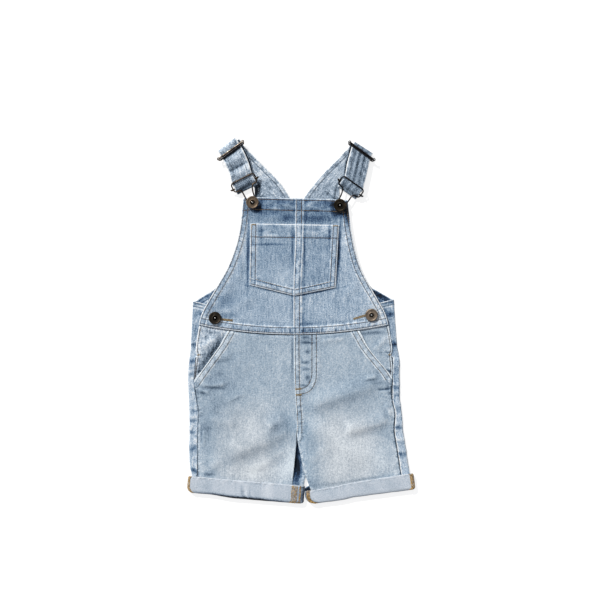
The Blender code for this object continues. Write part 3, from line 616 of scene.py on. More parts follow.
def wrapped(name, points, plan, cloth, finish):
    """A panel that folds round: points on its outer side, with their places on the cloth laid out."""
    x, y = plan[..., 0], plan[..., 1]
    form = cloth.form(x, y)
    n = normals(points)
    outer = points + n * form.rise[..., None]
    inner = points + n * (np.minimum(form.under, form.rise - 0.1) - PLY)[..., None]
    outer[..., 2] = np.maximum(outer[..., 2], FLOOR_GAP)
    EDGES[name] = outer
    cut = cut_place(x, y, 0.0, cloth.seed)
    return shell(name + "_cloth", outer, inner, cut, worn_and_shaded_tone(form.rise, form.tone), form, finish)


# ------------------------------------------------------------------ sewing
def stitch_shape(length, wide, high):
    """One stitch lying along X: a small rounded length of thread."""
    deselect()
    bpy.ops.mesh.primitive_uv_sphere_add(segments=6, ring_count=4, radius=0.5)
    made = bpy.context.object
    bpy.ops.object.mode_set(mode="EDIT")
    bpy.ops.mesh.select_all(action="SELECT")
    bpy.ops.transform.rotate(
        value=math.pi / 2, orient_axis="Y", center_override=(0, 0, 0), orient_type="GLOBAL"
    )
    bpy.ops.transform.resize(value=(length * 0.92, wide, high), center_override=(0, 0, 0))
    bpy.ops.object.mode_set(mode="OBJECT")
    mesh = made.data
    points = np.array([v.co for v in mesh.vertices])
    faces = [list(p.vertices) for p in mesh.polygons]
    bpy.data.objects.remove(made)
    bpy.data.meshes.remove(mesh)
    points[:, 0] = length / 2 * np.sign(points[:, 0]) * np.abs(points[:, 0] / (length * 0.46)) ** 0.6
    return points, faces


def copies(name, shape, places, finish):
    """Copies of a small shape in one mesh: each place is an origin with its three directions."""
    points, faces = shape
    all_points, all_faces = [], []
    for k, (origin, ahead, beside, up) in enumerate(places):
        all_points.append(origin + points[:, :1] * ahead + points[:, 1:2] * beside + points[:, 2:] * up)
        all_faces += [[i + k * len(points) for i in face] for face in faces]
    mesh = bpy.data.meshes.new(name)
    mesh.from_pydata((np.concatenate(all_points) * MM).tolist(), [], all_faces)
    mesh.polygons.foreach_set("use_smooth", np.ones(len(mesh.polygons), bool))
    mesh.materials.append(finish)
    made = bpy.data.objects.new(name, mesh)
    bpy.context.scene.collection.objects.link(made)
    return made


def along_line(points, ups, pitch, rng, turn=0.0, wander=0.05):
    """Places for stitches along a line in space, a pitch apart, each turned by so many degrees."""
    points = np.asarray(points, float)
    run = run_of(points)
    at = (np.arange(int(run[-1] / pitch)) + 0.5) * pitch
    centre, up = sampled(points, run, at), sampled(ups, run, at)
    ahead = sampled(points, run, at + 0.5) - sampled(points, run, at - 0.5)
    ahead /= np.maximum(np.linalg.norm(ahead, axis=1, keepdims=True), 1e-9)
    beside = np.cross(up, ahead)
    beside /= np.maximum(np.linalg.norm(beside, axis=1, keepdims=True), 1e-9)
    places = []
    for p, a, b, u in zip(centre, ahead, beside, np.cross(ahead, beside)):
        lean = math.radians(turn) + rng.normal(0, 0.05)
        c, s = math.cos(lean), math.sin(lean)
        places.append((p + b * rng.normal(0, wander), a * c + b * s, b * c - a * s, u))
    return places


# ------------------------------------------------------------------ the garment's own lines
def waist_y(x):
    return WAIST_Y + WAIST_RISE * ((x - CENTRE_X) / WAIST_HALF) ** 2


def bib_centre(y):
    """The bib's middle leans a little to the right above its pocket."""
    return CENTRE_X + 2.6 * ease((np.asarray(y, float) - 43.0) / 80.0)


def bib_half(y):
    return smooth(np.maximum(y, -10.0), *zip(*BIB))


def bib_top(x):
    return smooth(x, *zip(*BIB_TOP))


def on_half(side, x, y):
    """How far each place is from the bib's middle, on one side of it."""
    return side * (x - bib_centre(y))


def armhole(side):
    y = np.linspace(-5.7, 165.0, 70)
    return np.stack([bib_centre(y) + side * bib_half(y), y], axis=1)


def waist_line():
    x = np.linspace(*WAIST_ENDS, 60)
    return np.stack([x, waist_y(x)], axis=1)


def centre_line(y0, y1):
    y = np.linspace(y0, y1, 24)
    return np.stack([bib_centre(y), y], axis=1)


def bib_top_line():
    x = np.linspace(-79.0, 63.0, 30)
    return np.stack([x, bib_top(x)], axis=1)


def slant(rungs):
    return curve([r[:2] for r in rungs[:7]])


def outseam(rungs):
    return curve([r[:2] for r in rungs[6:]], 4.0)


def inner_edge(rungs, first=0):
    return curve([r[2:] for r in rungs[first:]], 4.0)


def centre_seam(rungs):
    """The right front's edge from the waist to the crotch."""
    return inner_edge(rungs[:11])


# The fly is stitched only, in two rows.
FLY_OUTER = curve([(20.9, -14), (20.9, -62), (20.7, -77), (17.2, -88.5), (9.5, -97), (-6.8, -101)], 2)
FLY_INNER = curve([(14.9, -14), (14.9, -62), (14.2, -76), (10.2, -86.4), (2.8, -91.8), (-6.8, -93.4)], 2)

# ------------------------------------------------------------------ how each panel is sewn and worn
# How far in from its edge each seam's two rows of stitches lie.
ARM_ROWS, TOP_ROWS, WAIST_ROWS, FELL_ROWS = (1.9, 7.6), (2.6, 16.4), (1.8, 8.8), (1.8, 8.2)
POCKET_ROWS, SLANT_ROWS, CENTRE_ROWS, BACK_ROWS = (1.6, 7.4), (1.6, 8.0), (1.3, 6.6), (1.5, 6.2)
FACING_ROW = 2.2  # the pocket facing has one row


def bib_cloth(side):
    centre = centre_line(-19.0, 165.0)
    hems = [
        hem(armhole(side), 8.6, 0.75, ARM_ROWS, 11 + side, pucker=0.16, step=3.6, tint=0.03),
        hem(bib_top_line(), 16.8, 0.75, TOP_ROWS, 14, pucker=0.28, step=11.0, tint=-0.13),
        hem(waist_line(), 10.0, 0.9, WAIST_ROWS, 17, pucker=0.24, step=3.4, lap=1.1, tint=0.04),
    ]
    if side > 0:
        hems.append(hem(centre, 11.0, 0.7, FELL_ROWS, 21, pucker=0.12, step=5.0, lap=0.9, tint=0.10))
        folds = rows_of(
            Fold,
            ([(58, 118), (62, 92), (70, 66), (80, 44)], 0.8, 7, 6, 18),
            ([(50, 28), (74, 44), (86, 62)], 0.7, 9, 5, 16),
            ([(84, 52), (96, 28), (104, 14)], 0.6, 5, 4, 12),
            ([(30, 24), (44, 8), (70, -2)], 0.7, 9, 7, 14),
            ([(8, 160), (14, 152), (24, 148)], 0.8, 4, 3, 5),
            ([(28, 162), (33, 154), (44, 150)], 0.8, 3, 4, 5),
            ([(16, 140), (34, 143), (46, 138)], 0.5, 3, 3, 6),
        )
        # Painted shade in this list: along the pocket's right and lower edges, (51.2, 93) and (19.3, 37.4);
        # beside the felled band's step, (4.4, 60); the button's shadow, (62, 149), (50, 145), (42.5, 156),
        # (65, 139).
        wash = rows_of(
            Wash,
            (20, 152, 70, 16, 0, -0.26), (57, 92, 4, 34, 5, 0.14), (51.2, 93, 1.8, 36, -3.2, -1.2),
            (19.3, 37.4, 1.0, 32, -79, -0.8), (14, 156, 8, 4, 0, 0.20), (32, 157, 7, 3, -20, -0.26),
            (30, 149.5, 9, 2.2, 0, 0.18), (86, 44, 8, 22, 28, 0.10), (4.4, 60, 1.6, 90, -0.8, -0.32),
            (-8, -13, 2.5, 6, 0, -0.3), (62, 149, 5, 9, 10, -0.9), (50, 145, 8, 5, 20, -0.95),
            (42.5, 156, 3, 7, 0, -0.85), (15, 136.5, 27, 6.5, 0, -0.58), (65, 139, 6, 13, 0, -0.72),
            (-4, 156, 7, 8, 0, -0.16), (107, 6, 8, 16, 10, 0.30), (2, -8, 11, 9, 0, -0.18),
            (40, -11, 15, 8, 0, 0.20), (76, 0, 26, 10, 0, 0.08), (98, 36, 8, 16, 25, 0.24),
            (90, 18, 8, 6, 0, 0.15), (40, -3, 34, 3.0, 3, -0.16), (12, -4.5, 15, 1.6, 0, -0.26),
        )
        wash += [Wash(x, -14.2, 0.75, 3.2, -6, -0.85) for x in (0.6, *np.arange(2.6, 29, 3.2), 33, 47)]
    else:
        folds = rows_of(
            Fold,
            ([(-84, 94), (-81, 76), (-84, 52)], 0.7, 3, 5, 9),
            ([(-92, 62), (-100, 40), (-112, 18)], 0.6, 5, 5, 14),
            ([(-118, 30), (-108, 14), (-92, 10)], 0.6, 4, 5, 9),
            ([(-60, 34), (-84, 22), (-98, 16)], 0.7, 8, 6, 14),
            ([(-48, 162), (-42, 153), (-30, 149)], 0.8, 4, 3, 5),
            ([(-30, 160), (-22, 155), (-12, 156)], 0.8, 3, 3, 5),
            ([(-52, 136), (-36, 140), (-20, 135)], 0.6, 3, 3, 6),
        )
        # Painted shade in this list: along the pocket's left and lower edges, (-71.6, 86) and (-39.3, 39.0);
        # beside the felled edge, (-11.4, 60); the button's cast shadow, (-59, 150) and (-54.5, 156).
        wash = rows_of(
            Wash,
            (-50, 152, 60, 16, 0, -0.26), (-36, 138.5, 34, 5.0, 0, -0.16), (-17, 139, 9, 5.5, 0, -0.34),
            (-81, 72, 3.0, 14, 0, -0.26), (-71.6, 86, 1.7, 42, -0.9, -0.85),
            (-39.3, 39.0, 1.0, 34, -103, -0.5), (-47, 156, 6, 4, 0, 0.20), (-30, 151, 9, 2.4, 10, 0.18),
            (-24, 158, 8, 2.0, 0, -0.24), (-78, 96, 3.0, 26, -6, 0.12), (-122, 18, 4, 8, 25, -0.24),
            (-98, 7, 10, 3.5, 0, -0.24), (-11.4, 60, 1.6, 90, -0.8, -0.34), (-50, -3, 34, 3.0, -2, -0.10),
            (-59, 150, 6.5, 4.5, -30, -0.95), (-54.5, 156, 2.5, 7, 0, -0.6), (-40, 155, 6, 3.5, 0, 0.16),
            (-36, 146, 14, 1.6, 0, -0.3), (-101, 12, 9, 4, 0, 0.12), (-100, 27, 14, 8, 30, -0.18),
            (-22, 135, 9, 5, 0, -0.22), (-28, 40, 16, 12, -14, 0.12), (-104, 26, 16, 12, 25, -0.10),
            (-18, 0, 10, 6, 0, 0.08), (-80, 98, 6, 14, 0, 0.12),
        )
        wash += [Wash(x, -13.6, 0.75, 3.0, 4, -0.65) for x in (-15, -22, *np.arange(-62, -41, 3.0), -71)]
    return Cloth(hems, folds, wash, 0.53, 31 + side, 0.8)


def pocket_cloth(side):
    top, low, mouth = POCKET_TOP[side], POCKET_BOTTOM[side], [POCKET_TOP[-1], POCKET_TOP[1]]
    hems = [
        hem([top, low], 8.6, 0.45, POCKET_ROWS, 41 + side, pucker=0.12, step=6.0, tint=0.07),
        hem([low, POCKET_POINT], 8.8, 0.45, POCKET_ROWS, 44 + side, pucker=0.2, step=3.4, tint=0.05),
        hem(mouth, POCKET_HEM, 0.4, (POCKET_HEM,), 47, pucker=0.08, step=12.0, tint=0.06),
    ]
    if side > 0:
        centre = centre_line(32, 131)
        hems.append(hem(centre, 10.5, 0.6, FELL_ROWS, 49, pucker=0.07, step=7.0, tint=0.15, lap=0.8))
        # (4.7, 95) is painted shade beside the felled band's step.
        wash = rows_of(
            Wash,
            (38.5, 118, 1.9, 13, 0, -0.62), (4.7, 95, 1.3, 44, -0.8, -0.55), (0, 124, 2.0, 6, 0, -0.2),
            (4, 114, 18, 6, 0, 0.16), (-4, 80, 8, 30, 0, 0.06), (25, 121, 26, 9, 0, -0.04),
            (30, 60, 14, 6, 10, -0.06),
        )
    else:
        # (-11.2, 104) is painted shade beside the felled edge.
        wash = rows_of(
            Wash,
            (-30, 121, 16, 8, 0, -0.12), (-11.2, 104, 1.3, 26, -1.6, -0.55), (-48, 113, 14, 4, 0, 0.10),
            (-25, 55, 15, 17, 0, 0.26), (-64, 98, 6, 12, 0, 0.08), (-53.5, 120, 2.2, 8, 0, -0.5),
            (-40, 116, 9, 10, 0, 0.10), (-42, 102.5, 22, 1.5, 0, -0.46), (-50, 94, 14, 1.6, -30, 0.10),
            (-56, 60, 7, 1.6, 40, 0.22),
        )
    return Cloth(hems, [], wash, 0.42, 51 + side, 0.7)


def leg_cloth(side):
    rungs = FRONT_LEG[side]
    if side < 0:
        hems = [
            hem(slant(rungs), 9.0, 0.7, SLANT_ROWS, 61, pucker=0.08, step=7.0, tint=0.20),
            # The outseam's and the waist's deeper bands, with rows that hold no stitches, are painted shade
            # at the front's edge and under the bib's band.
            hem(outseam(rungs), 1.9, 0.35, (0.4,), 62, pucker=0.2, step=4.2, worn=False, tint=-0.08),
            hem(waist_line(), 0.6, 0.0, (0.4,), 63, pucker=0.0, worn=False, tint=-0.35),
        ]
        folds = rows_of(
            Fold,
            ([(-102, -183), (-84, -176), (-52, -164), (-30, -152), (-9, -141)], 4.0, 22, 12, 20),
            ([(-84, -214), (-62, -199), (-36, -182), (-14, -168)], 1.4, 14, 9, 20),
            ([(-47, -148), (-36, -137), (-22, -130)], 1.5, 8, 6, 9),
            ([(-138, -87), (-120, -88), (-100, -86)], 1.5, 5, 3, 8),
            ([(-140, -94), (-130, -96), (-122, -98)], 0.9, 3, 3, 5),
            ([(-104, -112), (-96, -109), (-84, -102), (-70, -99)], 0.8, 8, 3, 10),
            ([(-131, -146), (-132, -158), (-131, -172)], 0.8, 2.5, 2.5, 7),
            ([(-128, -128), (-110, -136), (-86, -140)], 0.8, 6, 6, 12),
            ([(-92, -46), (-78, -60), (-64, -66)], 0.7, 9, 8, 12),
            ([(-120, -50), (-106, -50), (-92, -46)], 0.8, 6, 4, 8),
            ([(-120, -212), (-116, -196), (-108, -180)], 1.2, 8, 8, 14),
        )
        # (-126, -208.5), (-122, -207); under the waist seam, (-52, -20.5); by the right front's edge,
        # (-11.8, -46).
        # (-38, -150), (-33, -133); creases, (-114, -91.5), (-134, -98), (-92, -108); above the cuff,
        # Painted shade in this list: the big fold's shaded side, (-56, -170), (-44, -158), (-28, -144),
        wash = rows_of(
            Wash,
            (-56, -170, 44, 6.5, 25, -0.12), (-62, -146, 32, 22, -24, 0.18),
            (-46, -200, 26, 22, -20, 0.22), (-21, -188, 9, 34, -12, 0.16), (-90, -205, 34, 12, 0, 0.13),
            (-60, -200, 30, 14, 0, 0.08), (-108, -84, 30, 46, 0, -0.14), (-126, -88, 9, 10, 0, -0.10),
            (-44, -158, 10, 7, 20, -0.10), (-44, -112, 12, 8, 0, 0.09), (-108, -172, 12, 16, 0, 0.10),
            (-136, -190, 5, 30, 0, 0.12), (-10, -190, 9, 24, -6, 0.38), (-138.2, -160, 2.0, 50, 0, 0.28),
            (-126, -208.5, 8, 2.2, -4, -0.42), (-47, -211, 9, 4, -5, -0.12),
            (-127, -135, 11, 14, 0, -0.16), (-28, -144, 13, 9.5, 0, -0.32), (-66, -208, 10, 7, 0, 0.22),
            (-38, -150, 11, 20, -12, -0.13), (-33, -133, 6, 6, 0, -0.12), (-128, -155, 10, 11, 0, -0.13),
            (-130, -193, 6, 4, 0, -0.14), (-109, -114, 10, 8, 0, -0.13), (-114, -91.5, 11, 1.5, -6, -0.36),
            (-134, -98, 6, 2.4, -22, -0.42), (-108, -100, 4.5, 6, 0, 0.12),
            (-92, -108, 11, 1.1, 26, -0.20), (-134.3, -156, 1.7, 13, 0, -0.30),
            (-129, -145.5, 8, 3.5, -8, -0.24), (-101, -54.5, 9, 3.0, 8, -0.18),
            (-110, -73, 6, 2.0, 0, -0.18), (-122, -207, 7, 4.0, 0, -0.25), (-68, -39, 10, 9, -20, -0.07),
            (-11.8, -46, 1.3, 30, 0, -0.55), (-52, -20.5, 6, 1.3, 0, -0.26),
        )
    else:
        hems = [
            hem(slant(rungs), 9.0, 0.7, SLANT_ROWS, 71, pucker=0.08, step=7.0, tint=0.18),
            # The outseam's and the waist's deeper bands, with rows that hold no stitches, are painted shade
            # at the front's edge and under the bib's band.
            hem(outseam(rungs), 1.9, 0.35, (0.4,), 72, pucker=0.2, step=4.2, worn=False, tint=-0.06),
            hem(waist_line(), 0.6, 0.0, (0.4,), 76, pucker=0.0, worn=False, tint=-0.35),
            hem(centre_seam(rungs), 7.5, 0.65, CENTRE_ROWS, 73, pucker=0.2, step=3.4, lap=0.9),
            hem(inner_edge(rungs, 10), 1.4, 0.2, (), 77, worn=False, tint=0.16),
            hem(FLY_OUTER, 0.2, 0.0, (0.0,), 74, pucker=0.12, worn=False),
            hem(FLY_INNER, 0.2, 0.0, (0.0,), 75, pucker=0.10, worn=False),
        ]
        folds = rows_of(
            Fold,
            ([(8, -117), (34, -108), (60, -99), (84, -91), (106, -89)], 3.0, 14, 10, 18),
            ([(56, -151), (84, -143.5), (102, -139.5), (120, -132)], 2.8, 12, 7, 12),
            ([(10, -130), (30, -150), (60, -172), (98, -194)], 1.6, 12, 14, 22),
            ([(103, -93.8), (112, -93.2), (122, -92.4)], -0.9, 2.0, 1.6, 4),
            ([(84, -79), (94, -78), (104, -76)], 1.0, 3.5, 2.4, 6),
            ([(112, -112), (118, -120), (122, -130)], 0.9, 3, 3, 6),
            ([(24, -30), (40, -26), (62, -24)], 0.7, 4, 4, 9),
            ([(104, -170), (112, -190), (118, -208)], 0.9, 7, 7, 14),
            ([(10, -196), (22, -180), (40, -170)], 0.7, 7, 6, 12),
            ([(24.5, -16), (24.5, -60), (22.5, -78), (15, -93)], 0.5, 2.0, 3.5, 8),
        )
        # (82, -144); above the cuff, (80, -215.2), (30, -221.5), (14, -220); under the waist seam, (51,
        # -21), (30, -22).
        # Painted shade in this list: creases, (113, -93.2), (94, -80.5), (104, -85); a fold's shaded side,
        wash = rows_of(
            Wash,
            (42, -141, 28, 16, -10, 0.20), (56, -172, 34, 20, 36, 0.22), (66, -204, 44, 16, 8, 0.18),
            (104, -190, 24, 26, 0, 0.08), (52, -108, 44, 7, 17, -0.06), (8, -152, 8, 18, 20, -0.16),
            (14, -190, 8, 20, 10, -0.06), (113, -93.2, 9, 1.4, 3, -0.50), (94, -80.5, 7, 1.5, 6, -0.32),
            (104, -85, 9, 1.6, -4, -0.16), (117, -117, 5, 1.7, -15, -0.25), (110, -132, 10, 6, 20, -0.10),
            (51, -21, 14, 1.7, 8, -0.34), (30, -22, 8, 1.3, 0, -0.20), (40, -50, 24, 20, 0, 0.04),
            (80, -85, 18, 9, 10, -0.24), (112, -66, 12, 24, 30, -0.10), (90, -167, 16, 14, 0, 0.22),
            (14, -220, 16, 9, 0, -0.18), (80, -215.2, 42, 1.6, 9, -0.34), (129.6, -165, 2.0, 46, 5, 0.25),
            (30, -221.5, 14, 3.0, 5, -0.16), (2, -140, 6, 30, 0, 0.06), (55, -178, 24, 22, 0, 0.05),
            (6, -28, 12, 5, 0, -0.26), (122.5, -122, 4.5, 9, 0, 0.22), (118, -88, 3.5, 8, 0, -0.32),
            (82, -144, 22, 3.5, 8, -0.12), (64, -98, 10, 5, 0, -0.11), (85, -88, 6, 4, 0, -0.10),
            (88, -178, 10, 8, 0, 0.10), (129, -208, 4.5, 20, 4, 0.2), (0, -70, 12, 16, 0, 0.06),
        )
        for x, y, wide, high in (  # deep hollows inside the fly's stitching
            (6, -23, 7, 2.0), (10, -30.5, 10, 1.5), (9, -43, 3.4, 2.4), (6.5, -57, 5.5, 2.0),
            (7, -66, 5.5, 1.8), (9, -77.5, 3.0, 4.0), (3, -88, 3.5, 1.6),
        ):
            wash.append(Wash(x, y, wide, high, 0, -0.60))
    return Cloth(hems, folds, wash, 0.57, 65 + side, 0.65)


def in_cuff(x, y):
    """Folds die out where a leg goes into its cuff."""
    return 0.08 + 0.92 * ease((y + 212.0 + 0.05 * (x + 10)) / 14.0)


def ruled(rungs, places, t):
    """A grid between a panel's outer and inner edge: sections at places, points at t across each."""
    rows = between(rungs, places)
    x = rows[:, :1] + (rows[:, 2:3] - rows[:, :1]) * t
    y = rows[:, 1:2] + (rows[:, 3:4] - rows[:, 1:2]) * t
    return x, y


# ------------------------------------------------------------------ the fronts, the bib and the pockets
def front_leg(side):
    """One front: the slanted pocket edge and outseam to the centre seam and inseam."""
    rungs, cloth = FRONT_LEG[side], leg_cloth(side)
    inseam, outer = inner_edge(rungs, 9), outseam(rungs)
    places = spaced(222.0, 0.95, 1.3, 14.0, 3.0)
    t = spaced(125.0, 0.8, 1.35, 11.0, 11.0 if side < 0 else 32.0)
    x, y = ruled(rungs, places, t)
    top = waist_y(x[0]) + 4.0
    y += (top - y[0]) * ease(1 - places * 14 / 3.0)[:, None]
    if side < 0:  # tucked under the right front along the centre seam
        x += 1.7 * ease((t - 0.9) / 0.1) * ease((y + 152.0) / 8.0)

    def drop(x, y):
        """It sinks towards the inseam, the side and the waist seam."""
        from_inner = np.abs(away(x, y, inseam)[0])
        from_side = np.abs(away(x, y, outer)[0])
        low = 0.7 * ease((-153.0 - y) / 12.0) * (1 - ease(from_inner / 9.0))
        low += 0.5 * ease((-92.0 - y) / 8.0) * (1 - ease(from_side / 7.0))
        return low + 0.7 * (1 - ease((waist_y(x) - y) / 5.0))

    def level(x, y):
        placket = 0.0
        if side > 0:
            off = away(x, y, FLY_OUTER)[0]
            inside = (1 - ease((off - 0.8) / 1.5)) * ease((y + 104.0) / 3.0)
            placket = 0.45 * inside * (x > -9)
        return FRONT_TOP + placket - drop(x, y)

    def under(x, y):
        return FRONT_UNDER - drop(x, y)

    name = f"front_leg_{KEYS[side]}"
    return panel(name, x, y, level, under, cloth, LEG_DENIM, 2.0 * side, in_cuff)


def bib(side):
    """Half the bib: armhole hem, top hem, waist band, and the felled centre seam."""
    v = spaced(184.0, 0.8, 1.35, 12.0, 19.0)[:, None]
    t = spaced(128.0, 0.9, 1.5, 19.0, 15.0)[None, :]
    x = CENTRE_X + side * 120.0 * (1 - t) + 0 * v
    for _ in range(6):
        low, high = waist_y(x), bib_top(x)
        y = low + (high - low) * v
        inner = bib_centre(y) + (0.0 if side > 0 else 2.0)
        x = inner + (bib_centre(y) + side * bib_half(y) - inner) * (1 - t)

    def level(x, y):
        return FRONT_TOP + 0.25 * (1 - ease((y - waist_y(x) - 10.0) / 5.0))

    def under(x, y):
        return np.full_like(x, FRONT_UNDER)

    return panel(f"bib_{KEYS[side]}", x, y, level, under, bib_cloth(side), DENIM, 1.0 * side)


def bib_pocket(side):
    """Half the bib pocket, lying on the bib, with its pointed lower edge."""
    v = spaced(90.0, 0.75, 1.0, 10.0, 3.0)[:, None]
    t = spaced(60.0, 0.75, 1.0, 10.0, 10.0)[None, :]
    (top_x, side_y), (low_x, corner_y) = POCKET_TOP[side], POCKET_BOTTOM[side]
    outer_x = low_x + (top_x - low_x) * v
    low_y = corner_y + (POCKET_POINT[1] - corner_y) * t
    middle = (POCKET_TOP[-1][1] + POCKET_TOP[1][1]) / 2
    top_y = side_y + (middle - side_y) * t
    y = low_y + (top_y - low_y) * v
    inner_x = bib_centre(y) + (0.0 if side > 0 else 2.0)
    x = outer_x + (inner_x - outer_x) * t
    ground = bib_cloth(side)
    ground.hems = ground.hems[3:]

    def lift(x, y):
        """The pocket follows the bib and stands a little off it, most at its mouth."""
        rise = ground.form(x, y).rise
        if np.ndim(x) == 2:
            rise = blurred(rise, 12)
        mouth = 0.5 * ease((y - 95.0) / 34.0) * np.sin(np.pi * np.clip((x + 69) / 119, 0, 1))
        return np.clip(rise, 0, 0.8) + mouth

    def level(x, y):
        return POCKET_TOP_Z + lift(x, y)

    def under(x, y):
        return POCKET_UNDER_Z + lift(x, y)

    name = f"bib_pocket_{KEYS[side]}"
    return panel(name, x, y, level, under, pocket_cloth(side), DENIM, -1.0 * side)


def facing(side):
    """The ply behind a slanted pocket's mouth; the left one sinks away under the front."""
    count = 70
    x, y = ruled(FACING[side], np.linspace(0, 1, count), spaced(55.0, 0.8, 1.3, 6.0, 1.0))
    y += 5.0 * ease(1 - np.linspace(0, 5, count))[:, None]
    mouth = slant(FRONT_LEG[side])
    edge = curve([r[:2] for r in FACING[side]])
    hems = [hem(edge, 3.2, 0.3, (FACING_ROW,), 81 + side, pucker=0.2, tint=0.08)]
    if side < 0:
        tone, depth, finish = 0.70, 2.3, STRAP_DENIM
        folds = rows_of(Fold, ([(-141, -38), (-128, -33), (-110, -22)], 1.3, 5, 5, 8))
        # Painted shade in this list: in the sunken pocket mouth, (-123, -47.5) and (-112, -33); in the side
        # opening's gap, (-142.5, -62); where the facing goes under the front's edge, (-137, -69).
        wash = rows_of(
            Wash,
            (-123, -47.5, 5.0, 22, -36, -0.82), (-112, -33, 3.0, 9, -34, -0.25),
            (-125, -15.5, 14, 1.6, -8, -0.34), (-128, -22, 1.7, 5, 0, -0.28),
            (-134, -46.6, 5, 1.2, 4, -0.45), (-137, -69, 2.5, 2.0, 0, -0.90),
            (-142.5, -62, 2.0, 14, -6, -0.30), (-133, -62, 7, 7, -30, -0.10),
        )
    else:
        tone, depth, finish = 0.57, 0.5, LEG_DENIM
        folds = rows_of(Fold, ([(118, -22), (104, -34), (100, -44)], 0.8, 4, 4, 8))
        wash = rows_of(
            Wash,
            (98, -17, 20, 2.4, 4, -0.50), (108, -44, 3, 2.5, -40, -0.25),
            (118, -43.3, 5.5, 1.0, 0, -0.45), (119.5, -68.5, 4.5, 2, -15, -0.95),
            (104, -32, 4, 3, 20, -0.12),
        )
    cloth = Cloth(hems, folds, wash, tone, 85 + side, 0.8)

    def level(x, y):
        off = away(x, y, mouth)[0]
        off = np.where(off * -side > 0, 0.0, np.abs(off))
        return FACING_TOP - depth * (1 - ease(off / 14.0)) * ease((-14.0 - y) / 12.0)

    def under(x, y):
        return level(x, y) - PLY

    name = f"pocket_facing_{KEYS[side]}"
    return panel(name, x, y, level, under, cloth, finish, 6.0 * side)


# ------------------------------------------------------------------ the back, folded round at both sides
def folded_section(row, flat, arc, strip):
    """x and z from the inner edge, along the bottom, round the side fold and back over it."""
    radius = (row.top - row.floor) / 2
    side = 1.0 if row.fold_x > row.inner_x else -1.0
    centre = row.fold_x - side * radius
    turn = np.linspace(0, math.pi, arc)
    bottom = np.linspace(row.inner_x, centre, flat)[:-1]
    over = np.linspace(centre, row.strip_x, strip)[1:]
    x = np.concatenate([bottom, centre + side * radius * np.sin(turn), over])
    rounded = row.floor + radius * (1 - np.cos(turn))
    z = np.concatenate([np.full(flat - 1, row.floor), rounded, np.full(strip - 1, row.top)])
    return x, z


def laid_out(grid):
    """Each point's place on the cloth laid flat again: how far along its row it lies, and its y."""
    steps = np.linalg.norm(np.diff(grid[..., [0, 2]], axis=1), axis=2)
    s = np.concatenate([np.zeros((len(grid), 1)), np.cumsum(steps, axis=1)], axis=1)
    return np.dstack([s, grid[..., 1]])


def back_leg(side):
    """One back: flat on the surface, and folded round at the side up to the outseam."""
    grid = []
    for row in between(BACK_LEG[side], np.linspace(0, 1, 150)):
        row = BackRow(*row)
        x, z = folded_section(row, 52, 9, 12)
        t = (x - row.inner_x) / (row.fold_x - row.inner_x)
        y = row.inner_y + (row.fold_y - row.inner_y) * t
        grid.append(np.stack([x, y, z], axis=1))
    grid = np.array(grid)[::-1]
    plan = laid_out(grid)
    hems = [
        hem(plan[::3, -1], 1.5, 0.15, (), 91 + side, pucker=0.12, step=6.0, worn=side > 0),
        hem(plan[::3, 0], 7.0, 0.3, (1.2, 6.5), 94 + side, pucker=0.2),
    ]
    over, creases = SIDE_STRIP[side], SIDE_CREASES[side]
    wash = [Wash(over + c.shift, c.y, 6, c.high, 3, c.amount) for c in creases]
    wash += rows_of(Wash, (over - 4, -34.3, 14, 1.5, 0, -0.6), (over - 6, -190, 3, 44, 0, 0.10))
    folds = [Fold([(over - 10, c.y + 4), (over + 8, c.y + 5)], 0.6, 3.5, 2.4, 4) for c in creases]
    folds.append(Fold([(20, -200), (60, -170), (110, -150)], 0.25, 12, 12, 22))
    if side < 0:  # deep in shade between the legs
        wash += [Wash(s, -196, 2.0, 32, 0, -0.93) for s in (8.5, 11.5, 14.5, 17.5)]
        wash += rows_of(
            Wash, (5.5, -176, 3.0, 14, -8, -0.9), (11, -193, 4.5, 12, 0, -0.5), (2.5, -206, 4, 16, 0, -0.3)
        )
    else:
        # Painted shade: inside the right leg's end, (5, -231), and beside the front's outer edge, (over +
        # 5.8, -74).
        wash += rows_of(Wash, (5, -231, 14, 9, 0, -1.6), (over + 5.8, -74, 1.7, 32, 0, -0.32))
    cloth = Cloth(hems, folds, wash, 0.70 if side < 0 else 0.64, 95 + side, 0.45)
    if side > 0:
        grid, plan = grid[:, ::-1], plan[:, ::-1]
    return wrapped(f"back_leg_{KEYS[side]}", grid, plan, cloth, DENIM)


